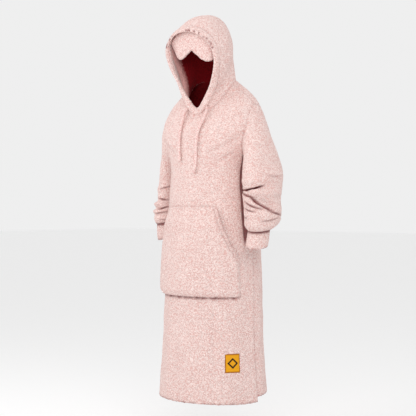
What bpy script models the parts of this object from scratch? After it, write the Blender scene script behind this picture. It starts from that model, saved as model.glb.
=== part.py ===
"""Long hooded lounge robe, standing open as it is worn, in metres with +Z up.

The origin is the middle of the neck's base at the height of the shoulder points.
The front looks along -Y and the wearer's left side is +X.
Every panel is a wall between two grids of points: the outer one follows a smooth surface
worked out from the tables below, and the inner one lies a wall's thickness further in.
"""

import math

import bmesh
import bpy
import numpy as np

# Cloth sizes
WALL = 0.005
SEAM_HALF_GAP = 0.00015
SLEEVE_HALF_GAP = 0.00025
BAND_WALL = 0.0085
BAND_RISE = 0.002
CUFF_WALL = 0.007
POCKET_WALL = 0.005
LABEL_WALL = 0.0012
LYING_GAP = 0.0003
CORD_RADIUS = 0.0052

TINY = 1e-9
NUDGE = 0.002

# Grid counts
FRONT_HALF_COLUMNS = 11
BACK_HALF_COLUMNS = 10
BODY_ROWS = 20
ARMHOLE_ROWS = 10
YOKE_ROWS = 3
HOOD_ROWS = 13
BAND_ROWS = 4
SLEEVE_ROWS = 26
CUFF_ROWS = 4

# Rings of the body and the hood. A ring passes through a front point, a back point and two
# side points. Narrow draws its front part in, and round draws its back or top part in.
# Columns: half_width, front_y, front_z, back_y, back_z, side_y, side_z, narrow, round
NECK_RING = (0.102, -0.112, -0.150, 0.062, 0.002, 0.000, -0.010, 0.00, 0.00)
BODY_RINGS = (
    (0.226, -0.200, -1.246, 0.196, -1.240, 0.000, -1.248, 0.00, 0.00),
    (0.221, -0.192, -1.180, 0.190, -1.180, 0.000, -1.180, 0.00, 0.00),
    (0.209, -0.177, -1.020, 0.177, -1.020, 0.000, -1.020, 0.00, 0.00),
    (0.206, -0.168, -0.840, 0.170, -0.840, 0.002, -0.840, 0.00, 0.00),
    (0.200, -0.160, -0.650, 0.162, -0.650, 0.002, -0.650, 0.00, 0.00),
    (0.189, -0.156, -0.470, 0.148, -0.470, 0.000, -0.470, 0.00, 0.00),
    (0.187, -0.153, -0.310, 0.137, -0.300, 0.000, -0.304, 0.00, 0.00),
    (0.220, -0.149, -0.258, 0.134, -0.225, 0.002, -0.228, 0.00, 0.00),
    (0.234, -0.144, -0.226, 0.128, -0.160, 0.004, -0.154, 0.00, 0.00),
    (0.204, -0.137, -0.200, 0.114, -0.100, 0.004, -0.090, 0.00, 0.00),
    (0.155, -0.125, -0.174, 0.090, -0.044, 0.002, -0.043, 0.00, 0.00),
    NECK_RING,
)
UNDERARM_ROW = 6
SHOULDER_ROW = 9
ARMHOLE_HALF_ANGLE = math.radians(27.0)
BACK_HEM_STATION = 0.016
HOOD_RINGS = (
    NECK_RING,
    (0.103, -0.110, -0.143, 0.062, 0.048, -0.010, 0.016, 0.08, 0.00),
    (0.117, -0.108, -0.136, 0.054, 0.112, -0.030, 0.040, 0.22, 0.02),
    (0.141, -0.106, -0.129, 0.046, 0.206, -0.056, 0.050, 0.40, 0.05),
    (0.162, -0.104, -0.121, -0.006, 0.264, -0.084, 0.054, 0.56, 0.08),
    (0.178, -0.101, -0.113, -0.088, 0.252, -0.108, 0.048, 0.70, 0.13),
    (0.186, -0.097, -0.106, -0.166, 0.186, -0.128, 0.038, 0.787, 0.16),
)
NECK_BLEND = 0.15
NECK_CALM = 0.10
NECK_TILT = 0.05
HOOD_TILT = 0.10
HOOD_TILT_STATION = 0.6
BAND_WIDTH = 0.034
LENGTH_STEPS = 60

# Soft folds. Each row is a line that runs past its middle for a reach either way, with its
# own width and slant. Depth is in metres, and below 0 it is a trough. On the skirt a line
# runs along the station, 0 at the hem and 1 at the neck. Elsewhere it runs round, by angle.
# Columns: station, angle, reach, width, slant, depth
SKIRT_FOLDS = (
    (0.16, -58.0, 0.34, 9.0, 7.0, 0.0045),
    (0.14, -24.0, 0.30, 8.0, -5.0, 0.0035),
    (0.20, 8.0, 0.36, 9.0, 4.0, 0.0035),
    (0.22, 33.0, 0.30, 6.0, 2.0, -0.0045),
    (0.17, 49.0, 0.32, 9.0, -2.0, 0.0045),
    (0.24, 78.0, 0.30, 8.0, 2.0, -0.0050),
    (0.18, 102.0, 0.32, 9.0, 4.0, 0.0050),
    (0.26, 131.0, 0.36, 10.0, -6.0, 0.0045),
    (0.20, 163.0, 0.30, 9.0, 4.0, -0.0040),
    (0.24, 196.0, 0.38, 11.0, -5.0, 0.0050),
    (0.18, 229.0, 0.32, 9.0, 5.0, -0.0045),
    (0.22, 257.0, 0.34, 9.0, -4.0, 0.0045),
)
# Columns: angle, station, reach, width, slant, depth
CHEST_FOLDS = (
    (42.0, 0.842, 32.0, 0.022, 0.040, 0.0022),
    (38.0, 0.800, 30.0, 0.020, 0.036, -0.0020),
    (-40.0, 0.838, 30.0, 0.022, -0.038, 0.0022),
    (-36.0, 0.796, 28.0, 0.020, -0.034, -0.0020),
    (150.0, 0.820, 30.0, 0.022, -0.034, 0.0050),
    (212.0, 0.800, 32.0, 0.022, 0.036, 0.0050),
    (180.0, 0.880, 40.0, 0.020, 0.000, -0.0045),
)

# Rings of the sleeves, from the armhole down to the cuff's seam, each from its inner point
# beside the body to its outer point. Pitch tips a ring's front down, in degrees.
# Columns: inner_x, inner_z, outer_x, outer_z, y, half_fore, pitch
LEFT_SLEEVE = (
    (0.187, -0.304, 0.204, -0.090, 0.002, 0.062, 0.0),
    (0.194, -0.318, 0.234, -0.138, -0.004, 0.064, 0.0),
    (0.198, -0.334, 0.268, -0.208, -0.012, 0.074, 0.0),
    (0.200, -0.352, 0.305, -0.288, -0.020, 0.088, 2.0),
    (0.201, -0.378, 0.334, -0.366, -0.026, 0.094, 5.0),
    (0.204, -0.424, 0.334, -0.424, -0.028, 0.092, 8.0),
    (0.208, -0.474, 0.328, -0.478, -0.030, 0.090, 10.0),
    (0.212, -0.520, 0.338, -0.528, -0.034, 0.082, 10.0),
    (0.217, -0.564, 0.326, -0.574, -0.040, 0.068, 10.0),
    (0.226, -0.576, 0.310, -0.584, -0.044, 0.051, 10.0),
    (0.230, -0.566, 0.304, -0.574, -0.045, 0.043, 10.0),
)
RIGHT_SLEEVE = (
    (0.187, -0.304, 0.204, -0.090, 0.002, 0.062, 0.0),
    (0.194, -0.318, 0.232, -0.138, 0.010, 0.064, 0.0),
    (0.198, -0.334, 0.258, -0.208, 0.026, 0.068, 0.0),
    (0.200, -0.352, 0.282, -0.288, 0.038, 0.074, 0.0),
    (0.200, -0.378, 0.296, -0.366, 0.044, 0.076, 2.0),
    (0.202, -0.424, 0.300, -0.424, 0.044, 0.076, 4.0),
    (0.205, -0.474, 0.306, -0.478, 0.032, 0.074, 6.0),
    (0.208, -0.514, 0.308, -0.520, 0.020, 0.068, 6.0),
    (0.212, -0.546, 0.302, -0.552, 0.012, 0.057, 6.0),
    (0.219, -0.557, 0.296, -0.562, 0.008, 0.045, 6.0),
    (0.222, -0.547, 0.292, -0.552, 0.007, 0.039, 6.0),
)
SLEEVE_BLEND = 0.30
SEAM_STATION = 0.03
SEAM_NORMAL_BLEND = 0.10
SEAM_NORMAL_SHARE = 0.5
UPPER_CALM = 0.2
LOWER_CALM = 0.08
BODY_SIDE_ANGLE = 180.0
BODY_SIDE_REACH = 55.0
BODY_SIDE_CALM = 0.9

# Folds of a sleeve. Angle is 0 at the outside, and its front side is below 0. Station runs
# from the armhole at 0 to the cuff's seam at 1.
# Columns: angle, station, reach, width, slant, depth
LEFT_SLEEVE_FOLDS = (
    (-40.0, 0.420, 100.0, 0.050, 0.030, -0.0060),
    (-60.0, 0.505, 110.0, 0.030, 0.000, 0.0090),
    (-85.0, 0.576, 75.0, 0.022, -0.018, -0.0140),
    (-40.0, 0.618, 90.0, 0.026, 0.060, 0.0080),
    (-55.0, 0.675, 100.0, 0.024, 0.150, -0.0120),
    (-70.0, 0.740, 80.0, 0.028, 0.110, 0.0060),
    (-60.0, 0.830, 110.0, 0.040, 0.020, 0.0080),
    (110.0, 0.400, 60.0, 0.034, -0.040, -0.0090),
    (115.0, 0.500, 60.0, 0.036, 0.030, 0.0090),
    (120.0, 0.600, 60.0, 0.028, -0.030, -0.0110),
    (115.0, 0.700, 60.0, 0.034, 0.030, 0.0080),
)
RIGHT_SLEEVE_FOLDS = (
    (-20.0, 0.330, 90.0, 0.050, 0.040, -0.0060),
    (-50.0, 0.600, 110.0, 0.040, -0.020, 0.0060),
    (-95.0, 0.710, 90.0, 0.022, 0.015, -0.0110),
    (-60.0, 0.755, 110.0, 0.026, 0.020, 0.0090),
    (-100.0, 0.803, 90.0, 0.020, -0.008, -0.0110),
    (-60.0, 0.835, 110.0, 0.022, 0.000, 0.0070),
    (-105.0, 0.868, 80.0, 0.018, 0.000, -0.0080),
    (115.0, 0.420, 60.0, 0.034, 0.030, -0.0090),
    (110.0, 0.520, 60.0, 0.038, -0.020, 0.0090),
    (120.0, 0.630, 60.0, 0.028, 0.020, -0.0100),
)

SLEEVES = {1: (LEFT_SLEEVE, LEFT_SLEEVE_FOLDS), -1: (RIGHT_SLEEVE, RIGHT_SLEEVE_FOLDS)}

# Cuffs: a ring at the sleeve's seam and one at the hand
CUFF_LENGTH = 0.078
CUFF_SPREAD = 1.04
CUFF_SWELL = 0.003
CUFF_INSET = 0.0004
CUFF_DRIFT = {"left": (-0.006, -0.010), "right": (-0.004, 0.000)}

# Pocket: its edge's angle at each height, sewn down where sewn is 1 and open where it is 0
# Columns: z, angle, sewn
POCKET_EDGE = (
    (-0.494, 39.0, 0.0),
    (-0.555, 44.0, 0.0),
    (-0.613, 50.5, 0.0),
    (-0.662, 58.0, 0.0),
    (-0.686, 62.5, 0.1),
    (-0.706, 65.5, 0.5),
    (-0.730, 66.5, 1.0),
    (-0.780, 67.0, 1.0),
    (-0.842, 67.5, 1.0),
)
POCKET_LEVELS = (
    (-0.494, -0.650, 7),
    (-0.666, -0.730, 6),
    (-0.755, -0.820, 3),
    (-0.830, -0.842, 3),
)
POCKET_LIFT = 0.016
POCKET_TOP_RISE = 0.070
POCKET_BOTTOM_RISE = 0.022
POCKET_SIDE_RISE = 0.10
POCKET_HALF_COLUMNS = 10

# Eye mask, sewn along its top to the inside of the hood's band. Across runs from the middle
# to an end, and top angle is where on the band's rings that column is sewn.
MASK_HALF_WIDTH = 0.101
# Columns: across, top_angle, bottom_z, bottom_y
MASK_EDGE = (
    (0.00, 180.0, 0.114, -0.1290),
    (0.22, 169.0, 0.099, -0.1280),
    (0.45, 157.0, 0.083, -0.1240),
    (0.68, 145.0, 0.076, -0.1180),
    (0.88, 134.0, 0.083, -0.1110),
    (1.00, 126.0, 0.097, -0.1060),
)
MASK_SEAM_SHARE = 0.30
MASK_WALL = 0.011
MASK_EDGE_WALL = 0.004
MASK_SEAM_GAP = 0.0005
MASK_TILT = 0.14
MASK_TURN = 0.55
MASK_HALF_COLUMNS = 8
MASK_ROWS = 8

# Label near the hem
LABEL_ANGLE = 57.0
LABEL_Z = -1.092
LABEL_WIDTH = 0.060
LABEL_HEIGHT = 0.072
LABEL_STEPS = 3

# Routes of the drawstring's two free ends, from the band downwards
CORD_STEP = 0.015
CORD_ROUTES = {
    "left": (
        (0.0510, -0.0996, -0.1067),
        (0.0570, -0.1060, -0.1160),
        (0.0560, -0.1160, -0.1370),
        (0.0500, -0.1250, -0.1620),
        (0.0440, -0.1405, -0.1950),
        (0.0420, -0.1525, -0.2500),
        (0.0420, -0.1550, -0.3000),
        (0.0400, -0.1570, -0.3400),
        (0.0310, -0.1590, -0.3660),
    ),
    "right": (
        (-0.0459, -0.1013, -0.1059),
        (-0.0510, -0.1080, -0.1130),
        (-0.0540, -0.1160, -0.1340),
        (-0.0540, -0.1250, -0.1600),
        (-0.0510, -0.1405, -0.1970),
        (-0.0470, -0.1525, -0.2500),
        (-0.0410, -0.1565, -0.3000),
        (-0.0390, -0.1580, -0.3180),
    ),
}

# Colours of the materials
FLEECE = ("pale pink sherpa fleece", (0.80, 0.56, 0.53), 0.95)
FLEECE_DEEP = ("pale pink sherpa fleece, double", (0.82, 0.59, 0.56), 0.95)
CORD_CLOTH = ("pink fleece cord", (0.74, 0.46, 0.44), 0.95)
LABEL_CLOTH = ("golden yellow woven label", (0.83, 0.42, 0.02), 0.75)


def slopes(stations, values):
    """Slopes of a smooth curve through the rows, from the parabola through each three."""
    steps = np.diff(stations)[:, None]
    secants = np.diff(values, axis=0) / steps
    inner = (secants[:-1] * steps[1:] + secants[1:] * steps[:-1]) / (steps[1:] + steps[:-1])
    return np.vstack((secants[:1], inner, secants[-1:]))


def smooth_rows(stations, values, at):
    """Values at the stations asked for, on cubic curves through the table's rows."""
    stations = np.asarray(stations, float)
    values = np.asarray(values, float)
    at = np.clip(np.asarray(at, float), stations[0], stations[-1])
    tangents = slopes(stations, values)
    low = np.clip(np.searchsorted(stations, at, side="right") - 1, 0, len(stations) - 2)
    step = (stations[low + 1] - stations[low])[..., None]
    t = (at[..., None] - stations[low][..., None]) / step
    start = (1 + 2 * t) * (1 - t) ** 2 * values[low] + t * (1 - t) ** 2 * step * tangents[low]
    end = t**2 * (3 - 2 * t) * values[low + 1] + t**2 * (t - 1) * step * tangents[low + 1]
    return start + end


def soft_step(t):
    """0 at 0 and below, 1 at 1 and above, with level ends."""
    t = np.clip(t, 0.0, 1.0)
    return t * t * (3 - 2 * t)


def ring_points(rows, angle):
    """Points of rings at an angle from the front, one for each row of ring columns."""
    half, front_y, front_z, back_y, back_z, side_y, side_z, narrow, rounded = np.moveaxis(rows, -1, 0)
    cosine = np.cos(angle)
    sine = np.sin(angle)
    front_share = (1 + cosine) / 2
    back_share = (1 - cosine) / 2
    x = half * sine * (1 - narrow * front_share) * (1 - rounded * back_share**3)
    y = (front_y + back_y) / 2 + cosine * (front_y - back_y) / 2
    z = (front_z + back_z) / 2 + cosine * (front_z - back_z) / 2
    y = y + sine**2 * (side_y - (front_y + back_y) / 2)
    z = z + sine**2 * (side_z - (front_z + back_z) / 2)
    return np.stack((x, y, z), axis=-1)


def ring_stations(rings):
    """Stations of the rings from 0 to 1, by the mean distance between neighbours."""
    angles = np.linspace(0, math.pi, 9)
    rows = np.array(rings)[:, None, :]
    points = ring_points(np.repeat(rows, len(angles), axis=1), angles[None, :])
    gaps = np.linalg.norm(np.diff(points, axis=0), axis=-1).mean(axis=1)
    stations = np.concatenate(((0.0,), np.cumsum(gaps)))
    return stations / stations[-1]


def turned_by(angle, degrees):
    """Angles in degrees from a given one, between -180 and 180."""
    return np.degrees(np.angle(np.exp(1j * (angle - math.radians(degrees)))))


def folds_up(table, angle, station):
    """Height of folds whose lines run along the station: soft ridges and troughs."""
    total = np.zeros(np.broadcast(station, angle).shape)
    for middle, degrees, reach, width, slant, depth in table:
        along = (station - middle) / reach
        apart = (turned_by(angle, degrees) - slant * along) / width
        total = total + depth * np.clip(1 - along**2, 0, 1) ** 2 * np.exp(-(apart**2))
    return total


def folds_round(table, angle, station):
    """Height of folds whose lines run round by angle."""
    total = np.zeros(np.broadcast(station, angle).shape)
    for degrees, middle, reach, width, slant, depth in table:
        along = turned_by(angle, degrees) / reach
        apart = (station - middle - slant * along) / width
        total = total + depth * np.clip(1 - along**2, 0, 1) ** 2 * np.exp(-(apart**2))
    return total


BODY_STATIONS = ring_stations(BODY_RINGS)
HOOD_STATIONS = ring_stations(HOOD_RINGS)
UNDERARM = BODY_STATIONS[UNDERARM_ROW]
SHOULDER = BODY_STATIONS[SHOULDER_ROW]


def body_base(angle, station):
    """The body's outer surface, whose neck leans a little to one side."""
    points = ring_points(smooth_rows(BODY_STATIONS, BODY_RINGS, station), angle)
    points[..., 2] -= NECK_TILT * points[..., 0] * soft_step((station - UNDERARM) / (1 - UNDERARM))
    return points


def hood_base(angle, station):
    """The hood's outer surface, which leans a little to one side above the neck."""
    points = ring_points(smooth_rows(HOOD_STATIONS, HOOD_RINGS, station), angle)
    tilt = NECK_TILT + (HOOD_TILT - NECK_TILT) * soft_step(station / HOOD_TILT_STATION)
    points[..., 2] -= tilt * points[..., 0]
    return points


def outward(surface, angle, station):
    """Unit normals of a surface, from small steps both ways, pointing out of the ring."""
    low = np.clip(station - NUDGE, 0, 1)
    high = np.clip(station + NUDGE, 0, 1)
    across = surface(angle + NUDGE, station) - surface(angle - NUDGE, station)
    up = surface(angle, high) - surface(angle, low)
    normal = np.cross(across, up)
    return normal / np.linalg.norm(normal, axis=-1, keepdims=True)


def body_surface(angle, station):
    """The body's outer surface with its folds, which fade out at the neck and the hem."""
    calm = soft_step((1 - station) / NECK_CALM)
    height = (folds_up(SKIRT_FOLDS, angle, station) + folds_round(CHEST_FOLDS, angle, station)) * calm
    return body_base(angle, station) + outward(body_base, angle, station) * height[..., None]


def body_normal(angle, station):
    """Unit normals of the body with its folds."""
    return outward(body_surface, angle, station)


def hood_normal(angle, station):
    """Unit normals of the hood."""
    return outward(hood_base, angle, station)


def armhole_angle(station):
    """Half the angle that the armhole takes out of the body's ring at this station."""
    share = np.clip((station - UNDERARM) / (SHOULDER - UNDERARM), 0, 1)
    return ARMHOLE_HALF_ANGLE * 2 * np.sqrt(share * (1 - share))


def armhole_turn(station):
    """How far round the armhole this station lies, from 0 at the shoulder to pi below."""
    share = np.clip((station - UNDERARM) / (SHOULDER - UNDERARM), 0, 1)
    return np.arccos(2 * share - 1)


def body_rows():
    """Stations of the rows: even below the underarm, bunched as an arc beside the armhole."""
    skirt = np.linspace(0, UNDERARM, BODY_ROWS + 1)
    turn = np.linspace(0, math.pi, ARMHOLE_ROWS + 1)[1:]
    armhole = UNDERARM + (SHOULDER - UNDERARM) * (1 - np.cos(turn)) / 2
    yoke = np.linspace(SHOULDER, 1, YOKE_ROWS + 1)[1:]
    return np.concatenate((skirt, armhole, yoke))


def pull_edges(points, ends=True, sides=True, gap=SEAM_HALF_GAP):
    """Moves a grid's edges inwards along its own lines, to leave the gap at a seam."""
    moved = points.copy()
    if ends:
        for edge, nearby in ((0, 1), (-1, -2)):
            inwards = points[nearby] - points[edge]
            moved[edge] += gap * inwards / np.linalg.norm(inwards, axis=-1, keepdims=True)
    if sides:
        source = moved.copy()
        for edge, nearby in ((0, 1), (-1, -2)):
            inwards = source[:, nearby] - source[:, edge]
            moved[:, edge] += gap * inwards / np.linalg.norm(inwards, axis=-1, keepdims=True)
    return moved


def body_panel(half_columns, middle_angle, hem_station=0.0):
    """Outer and inner grids of the front, or of the back where the middle angle is pi."""
    stations = body_rows()[:, None]
    stations[0] = hem_station
    share = np.linspace(-1, 1, 2 * half_columns + 1)[None, :]
    reach = math.pi / 2 - armhole_angle(stations)
    angles = middle_angle + share * reach
    beside = (stations[:, 0] > UNDERARM - TINY) & (stations[:, 0] < SHOULDER + TINY)
    stations = np.broadcast_to(stations, angles.shape)
    outer = body_surface(angles, stations)
    normal = body_normal(angles, stations)
    facing = -1 if middle_angle == 0 else 1
    turn = facing * armhole_turn(stations[beside, 0])
    for column, next_column, side in ((0, 1, facing), (-1, -2, -facing)):
        shared = armhole_normal(turn, side)
        normal[beside, column] = shared
        normal[beside, next_column] += SEAM_NORMAL_SHARE * shared
    normal = normal / np.linalg.norm(normal, axis=-1, keepdims=True)
    inner = outer - WALL * normal
    return pull_edges(outer), pull_edges(inner)


def hood_angles():
    """Angles of a hood half's columns, the same as the body's columns at the neck."""
    front = np.linspace(0, math.pi / 2, FRONT_HALF_COLUMNS + 1)
    back = np.linspace(math.pi / 2, math.pi, BACK_HALF_COLUMNS + 1)[1:]
    return np.concatenate((front, back))


def band_station(angles):
    """Station of the band's seam at these angles, a band's width short of the opening."""
    stations = np.linspace(0, 1, LENGTH_STEPS + 1)
    path = hood_base(*np.broadcast_arrays(angles[:, None], stations[None, :]))
    steps = np.linalg.norm(np.diff(path, axis=1), axis=-1)
    lengths = np.concatenate((np.zeros((len(angles), 1)), np.cumsum(steps, axis=1)), axis=1)
    return np.array([np.interp(row[-1] - BAND_WIDTH, row, stations) for row in lengths])


def neck_normal(angles):
    """The direction that the body and the hood share along the neck's seam."""
    return body_normal(angles, np.ones_like(angles))


def hood_half(side):
    """Outer and inner grids of one half, from the neck's seam to the band's seam."""
    angles = np.sort(side * hood_angles())
    stations = np.linspace(0, 1, HOOD_ROWS + 1)[:, None] * band_station(angles)[None, :]
    angles, stations = np.broadcast_arrays(angles[None, :], stations)
    outer = hood_base(angles, stations)
    normal = hood_normal(angles, stations)
    blend = soft_step(stations / NECK_BLEND)[..., None]
    normal = (1 - blend) * neck_normal(angles) + blend * normal
    normal = normal / np.linalg.norm(normal, axis=-1, keepdims=True)
    inner = outer - WALL * normal
    return pull_edges(outer), pull_edges(inner)


def band_roll(share):
    """How far the band swells over the hood, 0 at its two edges and 1 along its middle."""
    return share * (1 - share) * 4


def hood_band():
    """Outer and inner grids of the band: a soft double roll round the face opening."""
    half = hood_angles()
    angles = np.concatenate((half, 2 * math.pi - half[-2:0:-1]))
    share = np.linspace(0, 1, BAND_ROWS + 1)[:, None]
    seam = band_station(angles)[None, :]
    stations = seam + (1 - seam) * share
    angles, stations = np.broadcast_arrays(angles[None, :], stations)
    normal = hood_normal(angles, stations)
    roll = band_roll(share)[..., None]
    outer = hood_base(angles, stations) + normal * roll * BAND_RISE
    inner = outer - normal * (WALL + (BAND_WALL - WALL) * roll)
    return pull_edges(outer, sides=False), pull_edges(inner, sides=False)


def armhole_loop(turn, side):
    """Points and body normals of the armhole, with turn 0 at the shoulder and pi below."""
    share = (1 + np.cos(turn)) / 2
    station = UNDERARM + (SHOULDER - UNDERARM) * share
    sign = np.where(np.sin(turn) < 0, -1.0, 1.0)
    angle = side * (math.pi / 2 + sign * armhole_angle(station))
    return body_surface(angle, station), body_normal(angle, station)


def sleeve_rings(rows, turn, side):
    """Points of a sleeve's own rings, each between its inner and outer points."""
    inner_x, inner_z, outer_x, outer_z, y, half_fore, pitch = np.moveaxis(rows, -1, 0)
    pitch = np.radians(pitch)
    out = np.cos(turn) / 2
    fore = half_fore * np.sin(turn)
    px = (inner_x + outer_x) / 2 + out * (outer_x - inner_x)
    py = y + fore * np.cos(pitch)
    pz = (inner_z + outer_z) / 2 + out * (outer_z - inner_z) + fore * np.sin(pitch)
    return np.stack((side * px, py, pz), axis=-1)


def sleeve_stations(table):
    """Stations of the sleeve's rings from 0 to 1, by the distance between their middles."""
    rows = np.array(table)
    centres = (rows[:, 0:2] + rows[:, 2:4]) / 2
    gaps = np.linalg.norm(np.diff(centres, axis=0), axis=-1)
    stations = np.concatenate(((0.0,), np.cumsum(gaps)))
    return stations / stations[-1]


def sleeve_base(table, turn, station, side):
    """The sleeve's rings, drawn to the armhole's own line at its start."""
    rings = sleeve_rings(smooth_rows(sleeve_stations(table), table, station), turn, side)
    start = sleeve_rings(np.broadcast_to(table[0], rings.shape[:-1] + (7,)), turn, side)
    seam, _ = armhole_loop(np.angle(np.exp(1j * turn)), side)
    blend = (1 - soft_step(station / SLEEVE_BLEND))[..., None]
    return rings + (seam - start) * blend


def sleeve_surface(table, folds, side):
    """The sleeve's outer surface and its normals, as functions of turn and station."""

    def base(turn, station):
        return sleeve_base(table, turn, station, side)

    def height(turn, station):
        from_body = turned_by(turn, BODY_SIDE_ANGLE) / BODY_SIDE_REACH
        clear_of_body = 1 - BODY_SIDE_CALM * np.exp(-(from_body**2))
        calm = soft_step(station / UPPER_CALM) * soft_step((1 - station) / LOWER_CALM)
        return folds_round(folds, turn, station) * clear_of_body * calm

    def surface(turn, station):
        return base(turn, station) - side * outward(base, turn, station) * height(turn, station)[..., None]

    return surface, lambda turn, station: -side * outward(surface, turn, station)


def armhole_normal(turn, side):
    """The direction that the body and the sleeve share along their seam."""
    table, folds = SLEEVES[side]
    _, normal_at = sleeve_surface(table, folds, side)
    _, body_side = armhole_loop(turn, side)
    shared = body_side + normal_at(turn, np.full_like(turn, SEAM_STATION))
    return shared / np.linalg.norm(shared, axis=-1, keepdims=True)


def sleeve_turns():
    """Turns of a sleeve's columns, the same as the panels' rows beside the armhole."""
    return np.linspace(0, 2 * math.pi, 2 * ARMHOLE_ROWS + 1)[:-1]


def sleeve(table, folds, side):
    """Outer and inner grids of a sleeve from the armhole to the cuff's seam."""
    surface, normal_at = sleeve_surface(table, folds, side)
    turns, stations = np.meshgrid(sleeve_turns(), np.linspace(0, 1, SLEEVE_ROWS + 1))
    outer = surface(turns, stations)
    normal = normal_at(turns, stations)
    seam_normal = armhole_normal(np.angle(np.exp(1j * turns[0])), side)
    blend = soft_step(stations / SEAM_NORMAL_BLEND)[..., None]
    normal = (1 - blend) * seam_normal[None] + blend * normal
    normal = normal / np.linalg.norm(normal, axis=-1, keepdims=True)
    inner = outer - WALL * normal
    gap = SLEEVE_HALF_GAP
    return pull_edges(outer, sides=False, gap=gap), pull_edges(inner, sides=False, gap=gap)


def cuff(table, side_name, side):
    """Outer and inner grids of a cuff, a double tube below the sleeve's last ring."""
    share = np.linspace(0, 1, CUFF_ROWS + 1)[:, None]
    last = np.array(table[-1])
    drift_x, drift_y = CUFF_DRIFT[side_name]
    turns = sleeve_turns()[None, :]
    turns, share = np.broadcast_arrays(turns, share)
    rows = np.broadcast_to(last, share.shape + (7,)).copy()
    spread = 1 + (CUFF_SPREAD - 1) * share
    swell = CUFF_SWELL * np.sin(math.pi * share) ** 0.5 - CUFF_INSET
    half_x = (last[2] - last[0]) / 2 * spread
    middle_x = (last[2] + last[0]) / 2 + drift_x * share
    rows[..., 0] = middle_x - half_x - swell
    rows[..., 2] = middle_x + half_x + swell
    rows[..., (1, 3)] -= (LYING_GAP + CUFF_LENGTH * share)[..., None]
    rows[..., 4] += drift_y * share
    inner_rows = rows.copy()
    rows[..., 5] = last[5] * spread + swell
    inner_rows[..., 0] = middle_x - half_x + CUFF_WALL
    inner_rows[..., 2] = middle_x + half_x - CUFF_WALL
    inner_rows[..., 5] = last[5] * spread - CUFF_WALL
    return sleeve_rings(rows, turns, side), sleeve_rings(inner_rows, turns, side)


def station_of_level(level):
    """Body station whose ring's front point lies at this height, on the skirt."""
    fine = np.linspace(0, UNDERARM, 400)
    heights = body_base(np.zeros_like(fine), fine)[:, 2]
    return np.interp(level, heights, fine)


def pocket_grids():
    """Grids of the pocket: the front's own points moved out, high at its two openings."""
    edge = np.array(POCKET_EDGE)
    levels = np.concatenate([np.linspace(*stretch) for stretch in POCKET_LEVELS])
    rows = smooth_rows(-edge[:, 0], edge, -levels)
    share = np.linspace(-1, 1, 2 * POCKET_HALF_COLUMNS + 1)[None, :]
    angles = np.radians(rows[:, 1])[:, None] * share
    stations = np.broadcast_to(station_of_level(levels)[:, None], angles.shape)
    surface = body_surface(angles, stations)
    normal = body_normal(angles, stations)
    rise = soft_step((edge[0, 0] - levels) / POCKET_TOP_RISE)
    rise = rise * np.sqrt(np.clip((levels - edge[-1, 0]) / POCKET_BOTTOM_RISE, 0, 1))
    beside = soft_step((1 - np.abs(share)) / POCKET_SIDE_RISE)
    sewn = np.clip(rows[:, 2], 0, 1)[:, None]
    lift = POCKET_LIFT * rise[:, None] * (1 - sewn * (1 - beside))
    inner = surface + normal * (2 * LYING_GAP + lift)[..., None]
    outer = inner + normal * POCKET_WALL
    return outer, inner


def label_grids():
    """Grids of the label, from the front's points moved out."""
    middle = station_of_level(LABEL_Z)
    angle = math.radians(LABEL_ANGLE)
    after = body_surface(np.array(angle + NUDGE), middle)
    before = body_surface(np.array(angle - NUDGE), middle)
    per_radian = np.linalg.norm(after - before) / (2 * NUDGE)
    share = np.linspace(-0.5, 0.5, LABEL_STEPS + 1)
    angles = angle + share[None, :] * LABEL_WIDTH / per_radian
    stations = station_of_level(LABEL_Z + share[:, None] * LABEL_HEIGHT)
    angles, stations = np.broadcast_arrays(angles, stations)
    surface = body_surface(angles, stations)
    normal = body_normal(angles, stations)
    inner = surface + normal * (2 * LYING_GAP)
    return inner + normal * LABEL_WALL, inner


def mask_grids():
    """Front and back grids of the eye mask: a padded flap with two lobes and a notch."""
    edge = np.array(MASK_EDGE)
    share = np.linspace(-1, 1, 2 * MASK_HALF_COLUMNS + 1)
    _, top_angle, bottom_z, bottom_y = smooth_rows(edge[:, 0], edge, np.abs(share)).T
    angles = np.where(share < 0, 2 * math.pi - np.radians(top_angle), np.radians(top_angle))
    seam = band_station(angles)
    stations = seam + (1 - seam) * MASK_SEAM_SHARE
    depth = BAND_WALL - BAND_RISE + MASK_SEAM_GAP + MASK_EDGE_WALL / 2
    top = hood_base(angles, stations) - depth * hood_normal(angles, stations)
    x = MASK_HALF_WIDTH * share
    bottom = np.stack((x, bottom_y, bottom_z - MASK_TILT * x), axis=-1)
    down = np.linspace(0, 1, MASK_ROWS + 1)[:, None, None]
    middle = top + (bottom - top) * down
    plump = np.sqrt(1 - share**4)[None, :, None] * np.sqrt(1 - (2 * down - 1) ** 4)
    half_wall = (MASK_EDGE_WALL + (MASK_WALL - MASK_EDGE_WALL) * plump) / 2
    facing = np.stack((MASK_TURN * x, np.full_like(x, -MASK_HALF_WIDTH), 0 * x), axis=-1)
    facing = facing / np.linalg.norm(facing, axis=-1, keepdims=True)
    return middle + facing * half_wall, middle - facing * half_wall


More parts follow.
